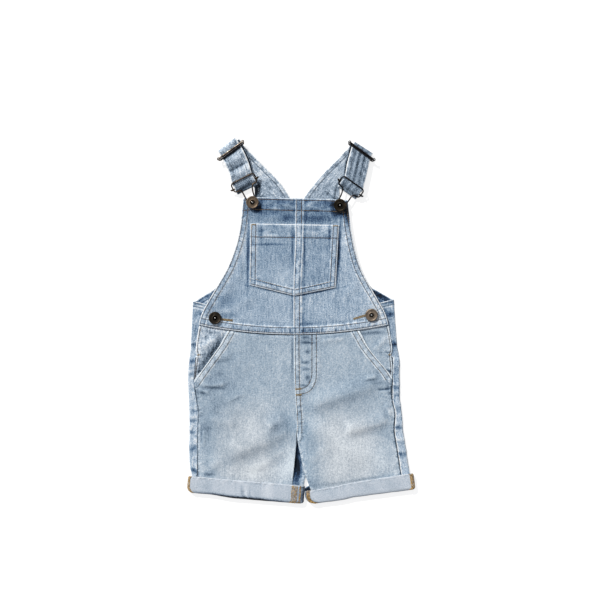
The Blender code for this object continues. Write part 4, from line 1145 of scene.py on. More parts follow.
def back_bib():
    """The upper back: under the bib, folded round at both sides, hemmed up to the straps."""
    strip, fall, steps = 24.0, 6.0, 16  # each folded strip's width, its slope, and its columns
    radius = BACK_HIGH / 2
    left, right = BACK_FOLD_LEFT + radius, BACK_FOLD_RIGHT - radius
    turn = np.linspace(math.pi, 0, 9)
    corners = [left, *(x for x, y in BACK_TOP[1:-1]), right]
    flats = []
    for a, b in zip(corners[:-1], corners[1:]):
        flats.append(np.linspace(a, b, max(2, int((b - a) / 1.9) + 1))[:-1])
    flats = np.concatenate(flats)[1:]
    near = np.linspace(strip, 0, steps + 1)[:-1]
    round_x, round_z = radius * np.sin(turn), radius * (1 - np.cos(turn))
    xs = np.concatenate([left + near, left - round_x, flats, right + round_x[::-1], right - near[::-1]])
    high = np.full(steps, BACK_HIGH)
    zs = np.concatenate([high, round_z, np.zeros(len(flats)), round_z[::-1], high])
    edge = np.interp(xs, *zip(*BACK_TOP))
    edge[:steps] = BACK_TOP[0][1] - fall * near / strip
    edge[-steps:] = BACK_TOP[-1][1] - fall * near[::-1] / strip
    v = spaced(100.0, 2.2, 2.2, 2.0, 9.0)[:, None]
    v = np.concatenate([v[:-5], 1 - np.array([[0.024], [0.012], [0.005], [0.0]])])
    low = BACK_WAIST_Y + 0.05
    y = low + (edge - low) * v
    middle = (left + right) / 2
    reach = (xs - middle) / (right - middle)
    x = xs + (1 - v) * np.where(reach < 0, BACK_LEAN_LEFT, BACK_LEAN_RIGHT) * reach
    grid = np.dstack([x, y, np.broadcast_to(zs, y.shape)])[:, ::-1]
    plan = laid_out(grid)
    hems = [
        hem(plan[-1, ::2], 8.4, 0.3, BACK_ROWS, 101, pucker=0.2, tint=0.10),
        hem(plan[0, ::4], 6.0, 0.0, (), 102, pucker=0.2, worn=False),
    ]
    end = plan[0, -1, 0]
    # Its deeper patches are painted shade: in the side openings' gaps, under the bib's edges, and on
    # the triangles seen below the armholes.
    wash = rows_of(
        Wash,
        (12, -8, 4.5, 26, 0, -0.75), (20, 8, 5, 3.5, 0, -0.80), (23, -33, 9, 4, 0, -0.85),
        (18, 19, 9, 4, 0, 0.20), (27, -5, 2.5, 24, 0, 0.25), (44, 34, 20, 12, 0, -0.90),
        (end - 18, 9, 12, 3, 10, -0.34), (end - 22, -15, 8, 6, 0, -0.22),
        (end - 13, -18, 2.5, 22, 0, -0.45), (end - 20, -33.6, 14, 2.5, 0, -0.55),
        (end - 18, 19, 9, 3.5, 0, 0.16), (end - 44, 34, 20, 14, 0, -0.30),
    )
    folds = rows_of(
        Fold, ([(4, 2), (26, 5)], 0.4, 3, 3, 5), ([(end - 26, 5), (end - 4, 2)], 0.4, 3, 3, 5)
    )
    return wrapped("back_bib", grid, plan, Cloth(hems, folds, wash, 0.52, 105, 0.4), DENIM)


# ------------------------------------------------------------------ cuffs
def corner(off, radius):
    """How far a round corner of this radius draws back, so far off its edge."""
    return radius * (1 - math.sqrt(1 - min(max(1 - off / radius, 0.0), 1.0) ** 2))


def cuff(key):
    """The turn-up: two plies folded up round the leg's end, so that the pale reverse shows."""
    row, salt = CUFFS[key], len(key)  # the salt keeps the two cuffs' noise apart
    along = np.array([row.x1 - row.x0, row.y1 - row.y0])
    length = np.hypot(*along)
    along = along / length
    up = np.array([-along[1], along[0]])
    radius = CUFF_HIGH / 2
    turn = np.linspace(0, math.pi, 15)[1:-1]
    run = np.linspace(radius, length - radius, 112)
    half = len(run) // 2
    round_x = radius * np.sin(turn)
    a = [run[:half][::-1], radius - round_x, run, length - radius + round_x, run[half:][::-1]]
    a = np.concatenate(a)
    rising, falling = radius * (1 - np.cos(turn)), radius * (1 + np.cos(turn))
    top, bottom = np.full(len(run), CUFF_HIGH), np.zeros(len(run))
    z = np.concatenate([bottom[:half], rising, top, falling, bottom[half:]])
    tall = row.high0 + (row.high1 - row.high0) * a / length
    share = spaced(CUFF_CUT, 0.45, 1.25, 3.2, 1.8)
    grid, rounding = [], []
    for h in share:
        low, high = h * CUFF_CUT, (1 - h) * CUFF_CUT
        start = corner(low, row.low0) + corner(high, row.up0)
        end = corner(low, row.low1) + corner(high, row.up1)
        s = start + a * (length - start - end) / length
        wave = 0.35 * ripple(s, 9.0, 117 + salt) * (h - 0.5)
        if key == "left":  # its lower edge hangs a little, and the other's inner end does
            wave = wave - 2.8 * ease((a - 22) / 42) * (1 - h)
        else:
            wave = wave - 1.8 * ease((66 - a) / 30)
        x = row.x0 + along[0] * s + up[0] * (tall * (h - 0.5) + wave)
        y = row.y0 + along[1] * s + up[1] * (tall * (h - 0.5) + wave)
        grid.append(np.stack([x, y, z], axis=1))
        rounding.append(0.55 * corner(low, 3.2) + 0.5 * corner(high, 1.0))
    grid, rounding = np.array(grid), np.array(rounding)[:, None]
    plan = laid_out(grid)
    plan[..., 1] = share[:, None] * CUFF_CUT
    hems = [
        hem(plan[-1, ::3], 1.5, 0.15, (), 111 + salt, pucker=0.2, step=6.0, tint=-0.03),
        hem(plan[0, ::3], 0.2, 0.0, (), 113 + salt, pucker=0.0, worn=False),
    ]
    tip = plan[5, half + len(turn) // 2, 0]  # how far round the left end lies
    if key == "left":
        # (tip + 150) and (tip + 161).
        # Painted shade in this list: along the lower edge, (tip + 76, 0.9), and at the inner end,
        marks = rows_of(
            Wash,
            (tip + 77, 8, 1.6, 8, 3, -0.50), (tip + 82, 9, 2.4, 9, 3, 0.22), (tip + 87, 6, 1.8, 6, 0, -0.34),
            (tip + 98, 8, 4, 8, 0, -0.14), (tip + 30, 9, 7, 7, 20, -0.22), (tip + 112, 12, 6, 14, -6, 0.24),
            (tip + 150, 11, 8, 20, 0, -0.45), (tip + 161, 11, 5.5, 30, 0, -0.95),
            (tip + 76, 0.9, 56, 2.3, 0, -1.5),
        )
        folds = rows_of(Fold, ([(tip + 79, 0), (tip + 80, 12)], -0.8, 2.2, 2.2, 4))
    else:
        marks = [Wash(tip + u, 12, 5, 8, 30, -0.16) for u in (40, 90, 120)]
        marks.append(Wash(tip + 7.4, 10, 3.0, 11, 12, -1.3))
        folds = []
    cloth = Cloth(hems, folds, marks, 0.54, 115 + salt, 0.9)
    form = cloth.form(plan[..., 0], plan[..., 1])
    n = normals(grid)
    n[..., :2] -= (n[..., :2] @ up)[..., None] * up  # the wall's own direction, across the band
    n /= np.linalg.norm(n, axis=2, keepdims=True)
    lying = 1.0 - 0.75 * (n[..., 2] < -0.5)  # it lies flat underneath
    outer = grid + n * ((form.rise * 0.8 - 0.3) * lying - rounding)[..., None]
    inner = grid - n * np.maximum(CUFF_WALL - rounding * 0.6, rounding + 0.75)[..., None]
    outer[..., 2] = np.maximum(outer[..., 2], FLOOR_GAP)
    EDGES[f"cuff_{key}"] = outer
    cut = cut_place(plan[..., 0], plan[..., 1], 3.0, 7 + salt)
    tone = worn_and_shaded_tone(form.rise, form.tone)
    return shell(f"cuff_{key}_cloth", outer, inner, cut, tone, form, REVERSE)


# ------------------------------------------------------------------ straps
FRAME_LOW = 22.0  # how far a buckle's frame starts above its button
FRAME_SHIFT = 2.0  # how far the frame is pulled to the side of its button


def on_buckle(row, u, v):
    """A place on a buckle: u across it and v up it from its button."""
    turn = math.radians(row.turn)
    u += math.copysign(FRAME_SHIFT, row.turn) * float(ease(v / FRAME_LOW))
    x = row.x + u * math.cos(turn) - v * math.sin(turn)
    y = row.y + u * math.sin(turn) + v * math.cos(turn)
    return x, y


def strap_fold(section, outward, low, high):
    """Sections round a fold whose line is the section's, from height low to height high."""
    radius = (high - low) / 2
    turn = math.radians(section[2])
    direction = np.array([-math.sin(turn), math.cos(turn)]) * outward
    made = []
    for angle in np.linspace(0, math.pi, 9)[1:-1]:
        centre = section[:2] + direction * abs(radius) * math.sin(angle)
        made.append([*centre, section[2], low + radius * (1 - math.cos(angle))])
    return np.array(made)


def across_strap(rows):
    """The direction across the strap at each of its sections."""
    turn = np.radians(rows[:, 2])
    return np.stack([np.cos(turn), np.sin(turn)], axis=1)


def strap(key):
    """One strap: up the back, over the shoulder fold, down to the buckle and back up under."""
    side, hold = SIDES[key], BUCKLES[key]
    front = STRAP_FRONT[key] + [StrapRow(*on_buckle(hold, 0.0, v), hold.turn, z) for v, z in STRAP_LOOP]
    back = between(STRAP_BACK[key], np.linspace(0, 1, 60))
    down = between(front, np.linspace(0, 1, 150))
    home = down[::-1].copy()
    share = run_of(home[:, :2])
    share /= share[-1]
    home[:, :2] -= side * RETURN_SHIFT * across_strap(home) * ease((share - 0.1) * 3)[:, None]
    home[:, 3] = LOOP_LOW_Z + (STRAP_RETURN_Z - LOOP_LOW_Z) * ease((share - 0.35) / 0.4)
    home = home[share < 0.98]
    over = strap_fold(back[-1], 1, back[-1][3], down[0][3])
    under = strap_fold(down[-1], -1, down[-1][3], LOOP_LOW_Z)
    rows = np.concatenate([back, over, down, under, home])
    run = run_of(rows[:, [0, 1, 3]])
    first = len(back) + len(over)
    # Where its back stretch ends, its front stretch starts, and its front stretch ends.
    fold, start, end = run[[len(back) - 1, first, first + len(down) - 1]]
    at = np.linspace(0, run[-1], int(run[-1] / 1.15))
    rows = sampled(rows, run, at)
    if key == "left":  # the front stretch bows up twice, with a dip between
        for where, high, wide in ((start + 20, 2.2, 7.0), (start + 39, 1.6, 6.0)):
            rows[:, 3] += high * np.exp(-(((at - where) / wide) ** 2))
    u = STRAP_HALF * (2 * spaced(30.0, 0.5, 1.3, 3.0, 3.0) - 1)
    # The strap's foot flares towards its outer side, where it runs into the upper back.
    flare = np.clip(46.0 - at, 0.0, 16.0)[:, None] * ease(side * u / STRAP_HALF)[None, :]
    flat = rows[:, None, :2] + across_strap(rows)[:, None, :] * (u[None, :] + side * flare)[..., None]
    middle = np.dstack([flat, np.broadcast_to(rows[:, 3:4], flat.shape[:2])])
    n = normals(middle)
    x, y = (np.broadcast_to(place, flat.shape[:2]) for place in (u, at[:, None]))
    hems = []
    for edge, seed in ((-STRAP_HALF, 121 + side), (STRAP_HALF, 124 + side)):
        hems.append(hem([(edge, 0), (edge, fold)], 6.6, 0.12, (6.0,), seed, pucker=0.14))
        hems.append(hem([(edge, fold), (edge, run[-1])], 6.6, 0.12, (), seed, pucker=0.10))
    wash, folds = [], []
    if key == "left":
        # Painted light and shade in this list: the two bows paler on top, (2, start + 19) and (3, start +
        # 37.5),
        # and deeper in the dip between them, (1, start + 30.5) and (-8, start + 26); the loop's lower end in
        # shade, (0, end - 6) and (-9, end - 1); shade by the shoulder fold, (13, fold - 4); the buckle's
        # cast
        # shadow, (-10.5, 44.0) and (-12.5, 38.5); a highlight on the worn edge, (14.6, start + 22).
        wash = rows_of(
            Wash,
            (1, start + 30.5, 22, 2.0, 2, -0.48), (-8, start + 26, 8, 4, 12, -0.16),
            (3, start + 37.5, 15, 5, 0, 0.30), (4, 51, 8, 8, 0, 0.18), (2, start + 19, 14, 4.5, 0, 0.20),
            (-3, start - 3, 14, 5, 0, 0.36), (0, end - 6, 18, 3.5, -6, -0.40),
            (-9, end - 1, 12, 3.5, 0, -0.45), (14.6, start + 22, 1.4, 26, 0, 0.55),
            (13, fold - 4, 4, 6, 0, -1.1), (-10.5, 44.0, 5.0, 5.0, 0, -1.3),
            (-12.5, 38.5, 3.5, 4.0, 0, -1.1), (1.0, 39, 2.2, 2.2, 0, -0.40),
            (0.0, 31, 2.4, 2.4, 0, -0.40), (-9, 29, 5, 3, 20, -0.25), (0, 60, 12, 20, 0, 0.08),
            (10, 84, 4, 9, 0, -0.35),
            (0, start + 10.5, 40, 1.8, 0, -0.9),  # the slide's bars keep the cloth under them in shade
        )
        folds = rows_of(Fold, ([(-15, start + 30), (15, start + 31)], -0.5, 2.0, 2.0, 3))
    else:
        ridges = ((-8.5, -0.16), (-5.0, 0.16), (-1.0, -0.34), (3.5, 0.10), (6.5, -0.26), (11.0, 0.10))
        for off, amount in ridges:
            wash.append(Wash(off, start + 20, 1.5, 30, 2, amount))
            folds.append(Fold([(off, start - 2), (off + 1, end)], 1.3 * amount, 2, 2, 8))
        # (-14.6, start + 22) is a highlight painted on the worn edge.
        wash += rows_of(
            Wash,
            (-14.6, start + 22, 1.5, 26, 0, 0.75), (3, end - 4, 14, 3, 0, -0.15),
            (5, 30, 5, 3, -30, -0.30), (1, 38, 2, 7, -12, -0.35), (9, 44, 2, 9, -8, -0.25),
            (0, 60, 12, 24, 0, 0.05),
        )
    form = Cloth(hems, folds, wash, 0.55, 131 + side, 0.8).form(x, y)
    seen = ease((at - fold) / 6.0) * (1 - ease((at - end) / 4.0))
    # Past its front stretch the strap's end, under the buckle and back up, is painted in deep shade.
    shaded = FRONT_SHADE[key] * seen - 0.9 * ease((at - end - 3.0) / 5.0)
    rim = np.clip(1 - (STRAP_HALF - np.abs(u)) / 1.1, 0, 1)[None, :]
    half = (STRAP_THICK / 2 - 0.1) * np.sqrt(1 - 0.85 * rim**2)
    wall = n * (half + form.rise * 0.5)[..., None]
    tone = worn_and_shaded_tone(form.rise, form.tone) + shaded[:, None]
    cut = cut_place(x, y, 0.0, 9 + side)
    EDGES[f"strap_{key}"] = (middle, wall, u, (at < fold, (at > start) & (at < end)))
    return shell(f"strap_{key}_cloth", middle + wall, middle - wall, cut, tone, form, STRAP_DENIM)


# ------------------------------------------------------------------ metal
WIRE = 1.9  # the buckles' and slides' wire, across


def wire(name, points, thick, ring=False, sides=3):
    """A bent wire through smooth points, turned into a mesh."""
    line = bpy.data.curves.new(name, "CURVE")
    line.dimensions = "3D"
    line.bevel_depth = thick / 2 * MM
    line.bevel_resolution = sides
    line.use_fill_caps = True
    spline = line.splines.new("POLY")
    spline.points.add(len(points) - 1)
    for spot, p in zip(spline.points, points):
        spot.co = (*(Vector(p) * MM), 1.0)
    spline.use_cyclic_u = ring
    made = bpy.data.objects.new(name, line)
    bpy.context.scene.collection.objects.link(made)
    deselect()
    made.select_set(True)
    bpy.context.view_layer.objects.active = made
    bpy.ops.object.convert(target="MESH")
    bpy.ops.object.mode_set(mode="EDIT")
    bpy.ops.mesh.select_all(action="SELECT")
    bpy.ops.mesh.remove_doubles(threshold=1e-6)
    bpy.ops.mesh.normals_make_consistent(inside=False)
    bpy.ops.object.mode_set(mode="OBJECT")
    bpy.ops.object.shade_smooth_by_angle(angle=math.radians(50))
    return bpy.context.object


def join(name, pieces, finish):
    """Several meshes made one piece with one finish."""
    deselect()
    for piece in pieces:
        piece.select_set(True)
        piece.data.materials.clear()
    bpy.context.view_layer.objects.active = pieces[0]
    if len(pieces) > 1:
        bpy.ops.object.join()
    made = bpy.context.object
    made.name = made.data.name = name
    made.data.materials.append(finish)
    for face in made.data.polygons:
        face.material_index = 0
    return made


def turns(count, degrees):
    """So many angles from 0 to this many degrees."""
    return np.radians(np.linspace(0, degrees, count))


def buckle(key):
    """A dungaree buckle: one bent wire with a keyhole loop for the button, and a bar across it."""
    row = BUCKLES[key]
    loop, half, high, curl, bar_v = 5.2, 17.3, 35.0, 4.0, 26.6
    path = [(loop * math.sin(a), -loop * math.cos(a), 6.6) for a in turns(9, 90)]
    path += [(5.5, 3.0, 6.6), (5.9, 7.0, 6.6), (6.2, 11.0, 6.6), (6.7, 15.0, 6.5), (7.3, 18.0, 6.3)]
    path += [(8.2, 20.4, 6.4), (9.6, FRAME_LOW - 0.3, 6.4), (11.2, FRAME_LOW, 6.4)]
    reach = half - curl
    for a in turns(8, 90):
        path.append((reach + curl * math.sin(a), FRAME_LOW + curl * (1 - math.cos(a)), 6.4))
    for a in turns(8, 90):
        rise = math.sin(a)
        z = 8.4 + 1.4 * float(ease(rise * 1.6))
        path.append((reach + curl * math.cos(a), high - curl * (1 - rise), z))
    bend = 0.9 if key == "right" else -0.5  # the keyhole's wires are bent a little by use
    points = []
    for u, v, z in path + [(-u, v, z) for u, v, z in path[::-1] if u > 0.01]:
        u += bend * math.sin(math.pi * min(max((v - 4.0) / 17.0, 0.0), 1.0))
        points.append((*on_buckle(row, u, v), z))
    pieces = [wire("frame", points, WIRE, ring=True)]
    bar = [(*on_buckle(row, u, bar_v), MID_BAR_Z) for u in np.linspace(-20.0, 20.0, 9)]
    pieces.append(wire("bar", bar, WIRE))
    for end in (-1, 1):  # the bar's ends are crimped round the frame's sides
        ring, nub = [], []
        for a in turns(17, 360)[:-1]:
            place = on_buckle(row, end * 17.4 + 1.75 * math.cos(a), bar_v + 0.9 * math.sin(a))
            ring.append((*place, 6.7 + 1.6 * math.sin(a)))
        pieces.append(wire("crimp", ring, 1.3, ring=True, sides=2))
        for k, (u, z) in enumerate(((18.8, 5.7), (19.9, 5.9), (20.6, 6.4))):
            nub.append((*on_buckle(row, end * u, bar_v + 0.5 * k), z))
        pieces.append(wire("nub", nub, 2.3, sides=2))
    return join(f"buckle_wire_{key}", pieces, BRONZED if key == "left" else BLACKENED)


def slide(key):
    """The adjuster: a flattened wire ring round both plies, with a rolled eye at each end."""
    row = SLIDES[key]
    turn = math.radians(row.turn)
    across = np.array([math.cos(turn), math.sin(turn)])
    up = np.array([-math.sin(turn), math.cos(turn)])
    top, low = 8.85, 2.8
    middle, radius = (top + low) / 2, (top - low) / 2

    def place(u, v, z):
        return (*(np.array([row.x, row.y]) + across * u + up * v), z)

    points = []
    for side in (1, -1):
        for angle in np.radians(np.linspace(-90, 90, 15)) * side:
            z = middle + radius * math.sin(angle)
            v = 3.0 * (z - middle) / (2 * radius)
            points.append(place(side * (17.4 + radius * math.cos(angle)), v, z))
    pieces = [wire("ring", points, WIRE, ring=True)]
    bar = [place(u, 1.5, top + 0.3) for u in np.linspace(-19.3, 19.3, 7)]
    pieces.append(wire("bar", bar, 2.2))
    for end in (-1, 1):
        eye = []
        for a in turns(21, 360)[:-1]:
            eye.append(place(end * (20.2 + 1.5 * math.cos(a)), 1.5 + 1.5 * math.sin(a), top - 0.2))
        pieces.append(wire("eye", eye, 1.25, ring=True, sides=2))
    # The second bar, that the strap slips past. On the left it is blackened, thicker and lower, as painted
    # shade under the slide.
    thick, drop = (2.7, 1.1) if key == "left" else (1.9, 0.4)
    shade_tongue = [place(u, -drop, top + 0.1) for u in np.linspace(-18.6, 18.6, 7)]
    shade_tongue = join(f"slide_shade_tongue_{key}", [wire("shade_tongue", shade_tongue, thick)], BLACKENED)
    return join(f"slide_wire_{key}", pieces, BRASS if key == "left" else BLACKENED), shade_tongue


def pick_faces(mesh, wanted):
    """Selects faces by their place, in object mode."""
    for part in (*mesh.vertices, *mesh.edges):
        part.select = False
    for face in mesh.polygons:
        face.select = wanted(face)


# The button's face from its rim to its middle: each step in, and how much it rises there.
BUTTON_FACE = (
    (0.35, 0.45), (0.6, 0.25), (0.5, -0.1), (0.5, -0.35), (1.6, -0.1), (1.25, 0.05), (0.25, 0.25),
    (0.3, 0.1), (0.25, -0.6), (0.25, -0.9), (1.2, 0.0), (0.2, 0.8), (0.35, 0.5),
)
HOLLOW_OUT, RIVET_OUT = 3.05, 1.3  # how far out the hollow round the rivet and the rivet reach
NECK_Z = 5.6  # where the buttons' necks end, over the cloth


def button(name, spot, head_z, tilt):
    """A turned shank button: rolled rim, dished ring, raised ring round a riveted centre."""
    deselect()
    bpy.ops.mesh.primitive_cylinder_add(vertices=56, radius=0.0085, depth=0.0018, location=(0, 0, 0.0012))
    made = bpy.context.object
    bpy.ops.object.transform_apply()
    made.name = made.data.name = name + "_turned"
    pick_faces(made.data, lambda face: face.normal.z > 0.9)
    bpy.ops.object.mode_set(mode="EDIT")
    bpy.ops.mesh.select_mode(type="FACE")
    for step, lift in BUTTON_FACE:
        bpy.ops.mesh.inset(thickness=step * MM, depth=0)
        bpy.ops.transform.translate(value=(0, 0, lift * MM))
    bpy.ops.object.mode_set(mode="OBJECT")
    pick_faces(made.data, lambda face: face.normal.z < -0.9)
    bpy.ops.object.mode_set(mode="EDIT")
    bpy.ops.mesh.inset(thickness=0.6 * MM, depth=0)
    bpy.ops.transform.translate(value=(0, 0, -0.3 * MM))
    bpy.ops.mesh.inset(thickness=5.1 * MM, depth=0)
    down = (0, 0, (NECK_Z - head_z) * MM)
    bpy.ops.mesh.extrude_region_move(TRANSFORM_OT_translate={"value": down})
    bpy.ops.object.mode_set(mode="OBJECT")
    round_off = made.modifiers.new("worn", "BEVEL")
    round_off.width = 0.16 * MM
    round_off.segments = 2
    round_off.limit_method = "ANGLE"
    round_off.angle_limit = math.radians(28)
    bpy.ops.object.modifier_apply(modifier="worn")
    made.data.materials.clear()
    for finish in (BUTTON_METALS[name], HOLLOW, RIVET):
        made.data.materials.append(finish)
    for face in made.data.polygons:
        out = math.hypot(*face.center[:2]) / MM
        inside = face.center.z > 0 and out < HOLLOW_OUT
        face.material_index = 0 if not inside else 1 if out > RIVET_OUT else 2
    lean = [Matrix.Rotation(math.radians(angle), 4, axis) for angle, axis in zip(tilt, "XY")]
    place = Matrix.Translation(Vector((spot.x, spot.y, head_z)) * MM)
    made.data.transform(place @ (lean[0] @ lean[1]))
    deselect()
    made.select_set(True)
    bpy.context.view_layer.objects.active = made
    bpy.ops.object.shade_smooth_by_angle(angle=math.radians(40))
    return made


# ------------------------------------------------------------------ thread work
PITCH = 2.9  # a stitch and its gap


def on_panel(name, line, lift=0.02):
    """A line in plan laid on a panel's upper side, with the directions up."""
    line = np.asarray(line, float)
    z = SURFACES[name](line[:, 0], line[:, 1]) + lift
    return np.column_stack([line, z]), np.tile([0.0, 0.0, 1.0], (len(line), 1))


def fine_line(line, step=1.0):
    run = run_of(line)
    return sampled(line, run, np.linspace(0, run[-1], max(3, int(run[-1] / step))))


def below_waist(x, y):
    return y < waist_y(x) - 0.6


def topstitching():
    """Every straight row on the fronts, the bib and the pockets: three stitches to the centimetre."""
    rng = np.random.default_rng(5)
    places = []

    def sew(name, line, keep=None):
        line = fine_line(line)
        if keep is not None:
            line = line[keep(line[:, 0], line[:, 1])]
        if len(line) > 3:
            places.extend(along_line(*on_panel(name, line), PITCH, rng))

    def sew_bib(side, line, clear):
        """A row across the bib's half, from its middle to this far clear of the armhole."""
        def kept(x, y):
            return (on_half(side, x, y) > 0.4) & (on_half(side, x, y) < bib_half(y) - clear)

        sew(f"bib_{KEYS[side]}", line, kept)

    for side, key in KEYS.items():
        for off in ARM_ROWS:
            sew(f"bib_{key}", inset(armhole(side), side * off)[3:-3])
        for off in TOP_ROWS:
            sew_bib(side, inset(bib_top_line(), -off), 1.0)
        for off in WAIST_ROWS:
            sew_bib(side, inset(waist_line(), off), 0.8)
        for off in SLANT_ROWS:
            line = inset(slant(FRONT_LEG[side]), -side * off)
            sew(f"front_leg_{key}", line, lambda x, y: below_waist(x, y) & (np.abs(x) < 139.5))
        edge = inset(curve([r[:2] for r in FACING[side]]), -side * FACING_ROW)
        sew(f"pocket_facing_{key}", edge, lambda x, y: (y < waist_y(x) - 1) & (y > -78))
        top, low, point = (np.array(p) for p in (POCKET_TOP[side], POCKET_BOTTOM[side], POCKET_POINT))
        for off in POCKET_ROWS:
            inner_low = low + np.array([-side * off, off * 1.05])
            sew(f"bib_pocket_{key}", [top + [-side * off, -0.8], inner_low])
            line = [inner_low, point + [0, off * 1.02]]
            sew(f"bib_pocket_{key}", line, lambda x, y: on_half(side, x, y) > 0.3)
        line = np.array([POCKET_TOP[-1], POCKET_TOP[1]]) - [0, POCKET_HEM]
        sew(f"bib_pocket_{key}", line, lambda x, y: (on_half(side, x, y) > 0.4) & (x > -67.5) & (x < 49.8))
    for off in FELL_ROWS:
        line = centre_line(-17.0, 164.5) + [off, 0]
        sew("bib_right", line, lambda x, y: (y < 32.5) | (y > 131.5))
        sew("bib_pocket_right", line, lambda x, y: (y > 34.6) & (y < 130.0))
    for off in CENTRE_ROWS:
        line = inset(centre_seam(FRONT_LEG[1]), off)
        sew("front_leg_right", line, lambda x, y: below_waist(x, y) & (y > -154))
    for line in (FLY_OUTER, FLY_INNER):
        sew("front_leg_right", line, below_waist)
    return copies("topstitching", stitch_shape(2.6, 0.95, 0.6), places, TOPSTITCH)


def back_stitching():
    """Rows on the straps and along the back's hem."""
    rng = np.random.default_rng(6)
    places = []
    for key in SIDES:
        middle, wall, u, (upper, front) = EDGES[f"strap_{key}"]
        n = normals(middle)
        for off in (-9.0, 9.0):
            j = int(np.abs(u - off).argmin())
            for chosen, face in ((upper, 1.0), (front, -1.0)):
                line = (middle + face * wall)[chosen, j]
                places.extend(along_line(line, face * n[chosen, j], PITCH, rng))
    outer = EDGES["back_bib"][::-1]
    n = normals(EDGES["back_bib"])[::-1]
    for off in BACK_ROWS:
        row, ups = [], []
        for j in range(outer.shape[1]):
            run = run_of(outer[:, j])
            row.append(sampled(outer[:, j], run, off))
            ups.append(sampled(n[:, j], run, off))
        places.extend(along_line(row, ups, PITCH, rng))
    return copies("back_stitching", stitch_shape(2.6, 0.9, 0.55), places, GREY_THREAD)


def satin(name, line, lift, wide, turn, wander, rng):
    """Places for the close stitches of a bar or an edge along a line."""
    points, ups = on_panel(name, line, lift)
    for origin, ahead, beside, up in along_line(points, ups, 0.5, rng, turn=turn, wander=wander):
        yield origin, ahead * wide, beside, up


def bar_tacks():
    """Dense satin bars where a seam ends or a pocket pulls."""
    rng = np.random.default_rng(7)
    places = []
    for name, a, b, wide in (
        ("front_leg_right", (-7.6, -93.4), (0.8, -92.4), 3.2),
        ("front_leg_right", (-7.2, -101.0), (0.8, -100.4), 2.6),
        ("bib_pocket_left", (-66.4, 129.2), (-60.6, 129.0), 1.7),
        ("bib_pocket_left", (-66.2, 129.6), (-66.5, 122.6), 1.2),
        ("bib_pocket_right", (43.6, 127.6), (49.6, 127.5), 1.7),
        ("pocket_facing_left", (-140.6, -46.9), (-135.6, -46.6), 1.5),
        ("pocket_facing_right", (121.6, -46.9), (117.2, -46.4), 1.5),
    ):
        places.extend(satin(name, fine_line([a, b], 0.8), 0.15, wide / 2.2, 84, 0.03, rng))
    return copies("bar_tacks", stitch_shape(2.2, 0.5, 0.6), places, TAN)


def buttonholes():
    """Satin-edged slits at the side openings, each running in from its button."""
    rng = np.random.default_rng(8)
    places = []
    for name, a, b in (
        ("bib_left", (-108.0, 1.2), (-92.0, -0.4)),
        ("bib_right", (87.8, 6.9), (70.4, 1.6)),
    ):
        for off in (-0.75, 0.75):
            line = inset(fine_line([a, b], 0.8), off)
            places.extend(satin(name, line, 0.2, 0.75, 88, 0.04, rng))
    return copies("buttonholes", stitch_shape(2.2, 0.5, 0.65), places, TAN)


def serging():
    """The overlocked seam ends of the turn-ups: slanted loops of thread over the raw edges."""
    rng = np.random.default_rng(9)
    places = []
    # How far in from each end's outermost point its rows of thread lie, in plan.
    for key, end, rows in (
        ("left", -1, (0.1, 1.0, 1.9, 2.9)),
        ("left", 1, (5.4, 6.8, 10.4, 12.0, 13.6, 15.4, 17.2)),
        ("right", -1, (2.0, 3.2, 4.4, 5.8)),
        ("right", 1, (0.4, 1.5, 2.6, 3.8, 5.0)),
    ):
        outer = EDGES[f"cuff_{key}"]
        n = normals(outer)
        for k, distance in enumerate(rows):
            points, ups = [], []
            for line, up in zip(outer[1:-1], n[1:-1]):
                tip = int((line[:, 0] * end).argmax())
                near = slice(tip, tip + 40) if end < 0 else slice(tip, tip - 40, -1)
                run = run_of(line[near, :2])
                points.append(sampled(line[near], run, distance))
                ups.append(sampled(up[near], run, distance))
            loops = along_line(points, ups, 1.15, rng, turn=24 - 34 * (k % 2), wander=0.2)
            for origin, ahead, beside, up in loops:
                if key == "left" and end > 0 and rng.uniform() < 0.12:
                    continue  # worn through
                places.append((origin + up * 0.15, ahead, beside, up))
    return copies("serging", stitch_shape(2.5, 0.75, 0.65), places, SERGE)


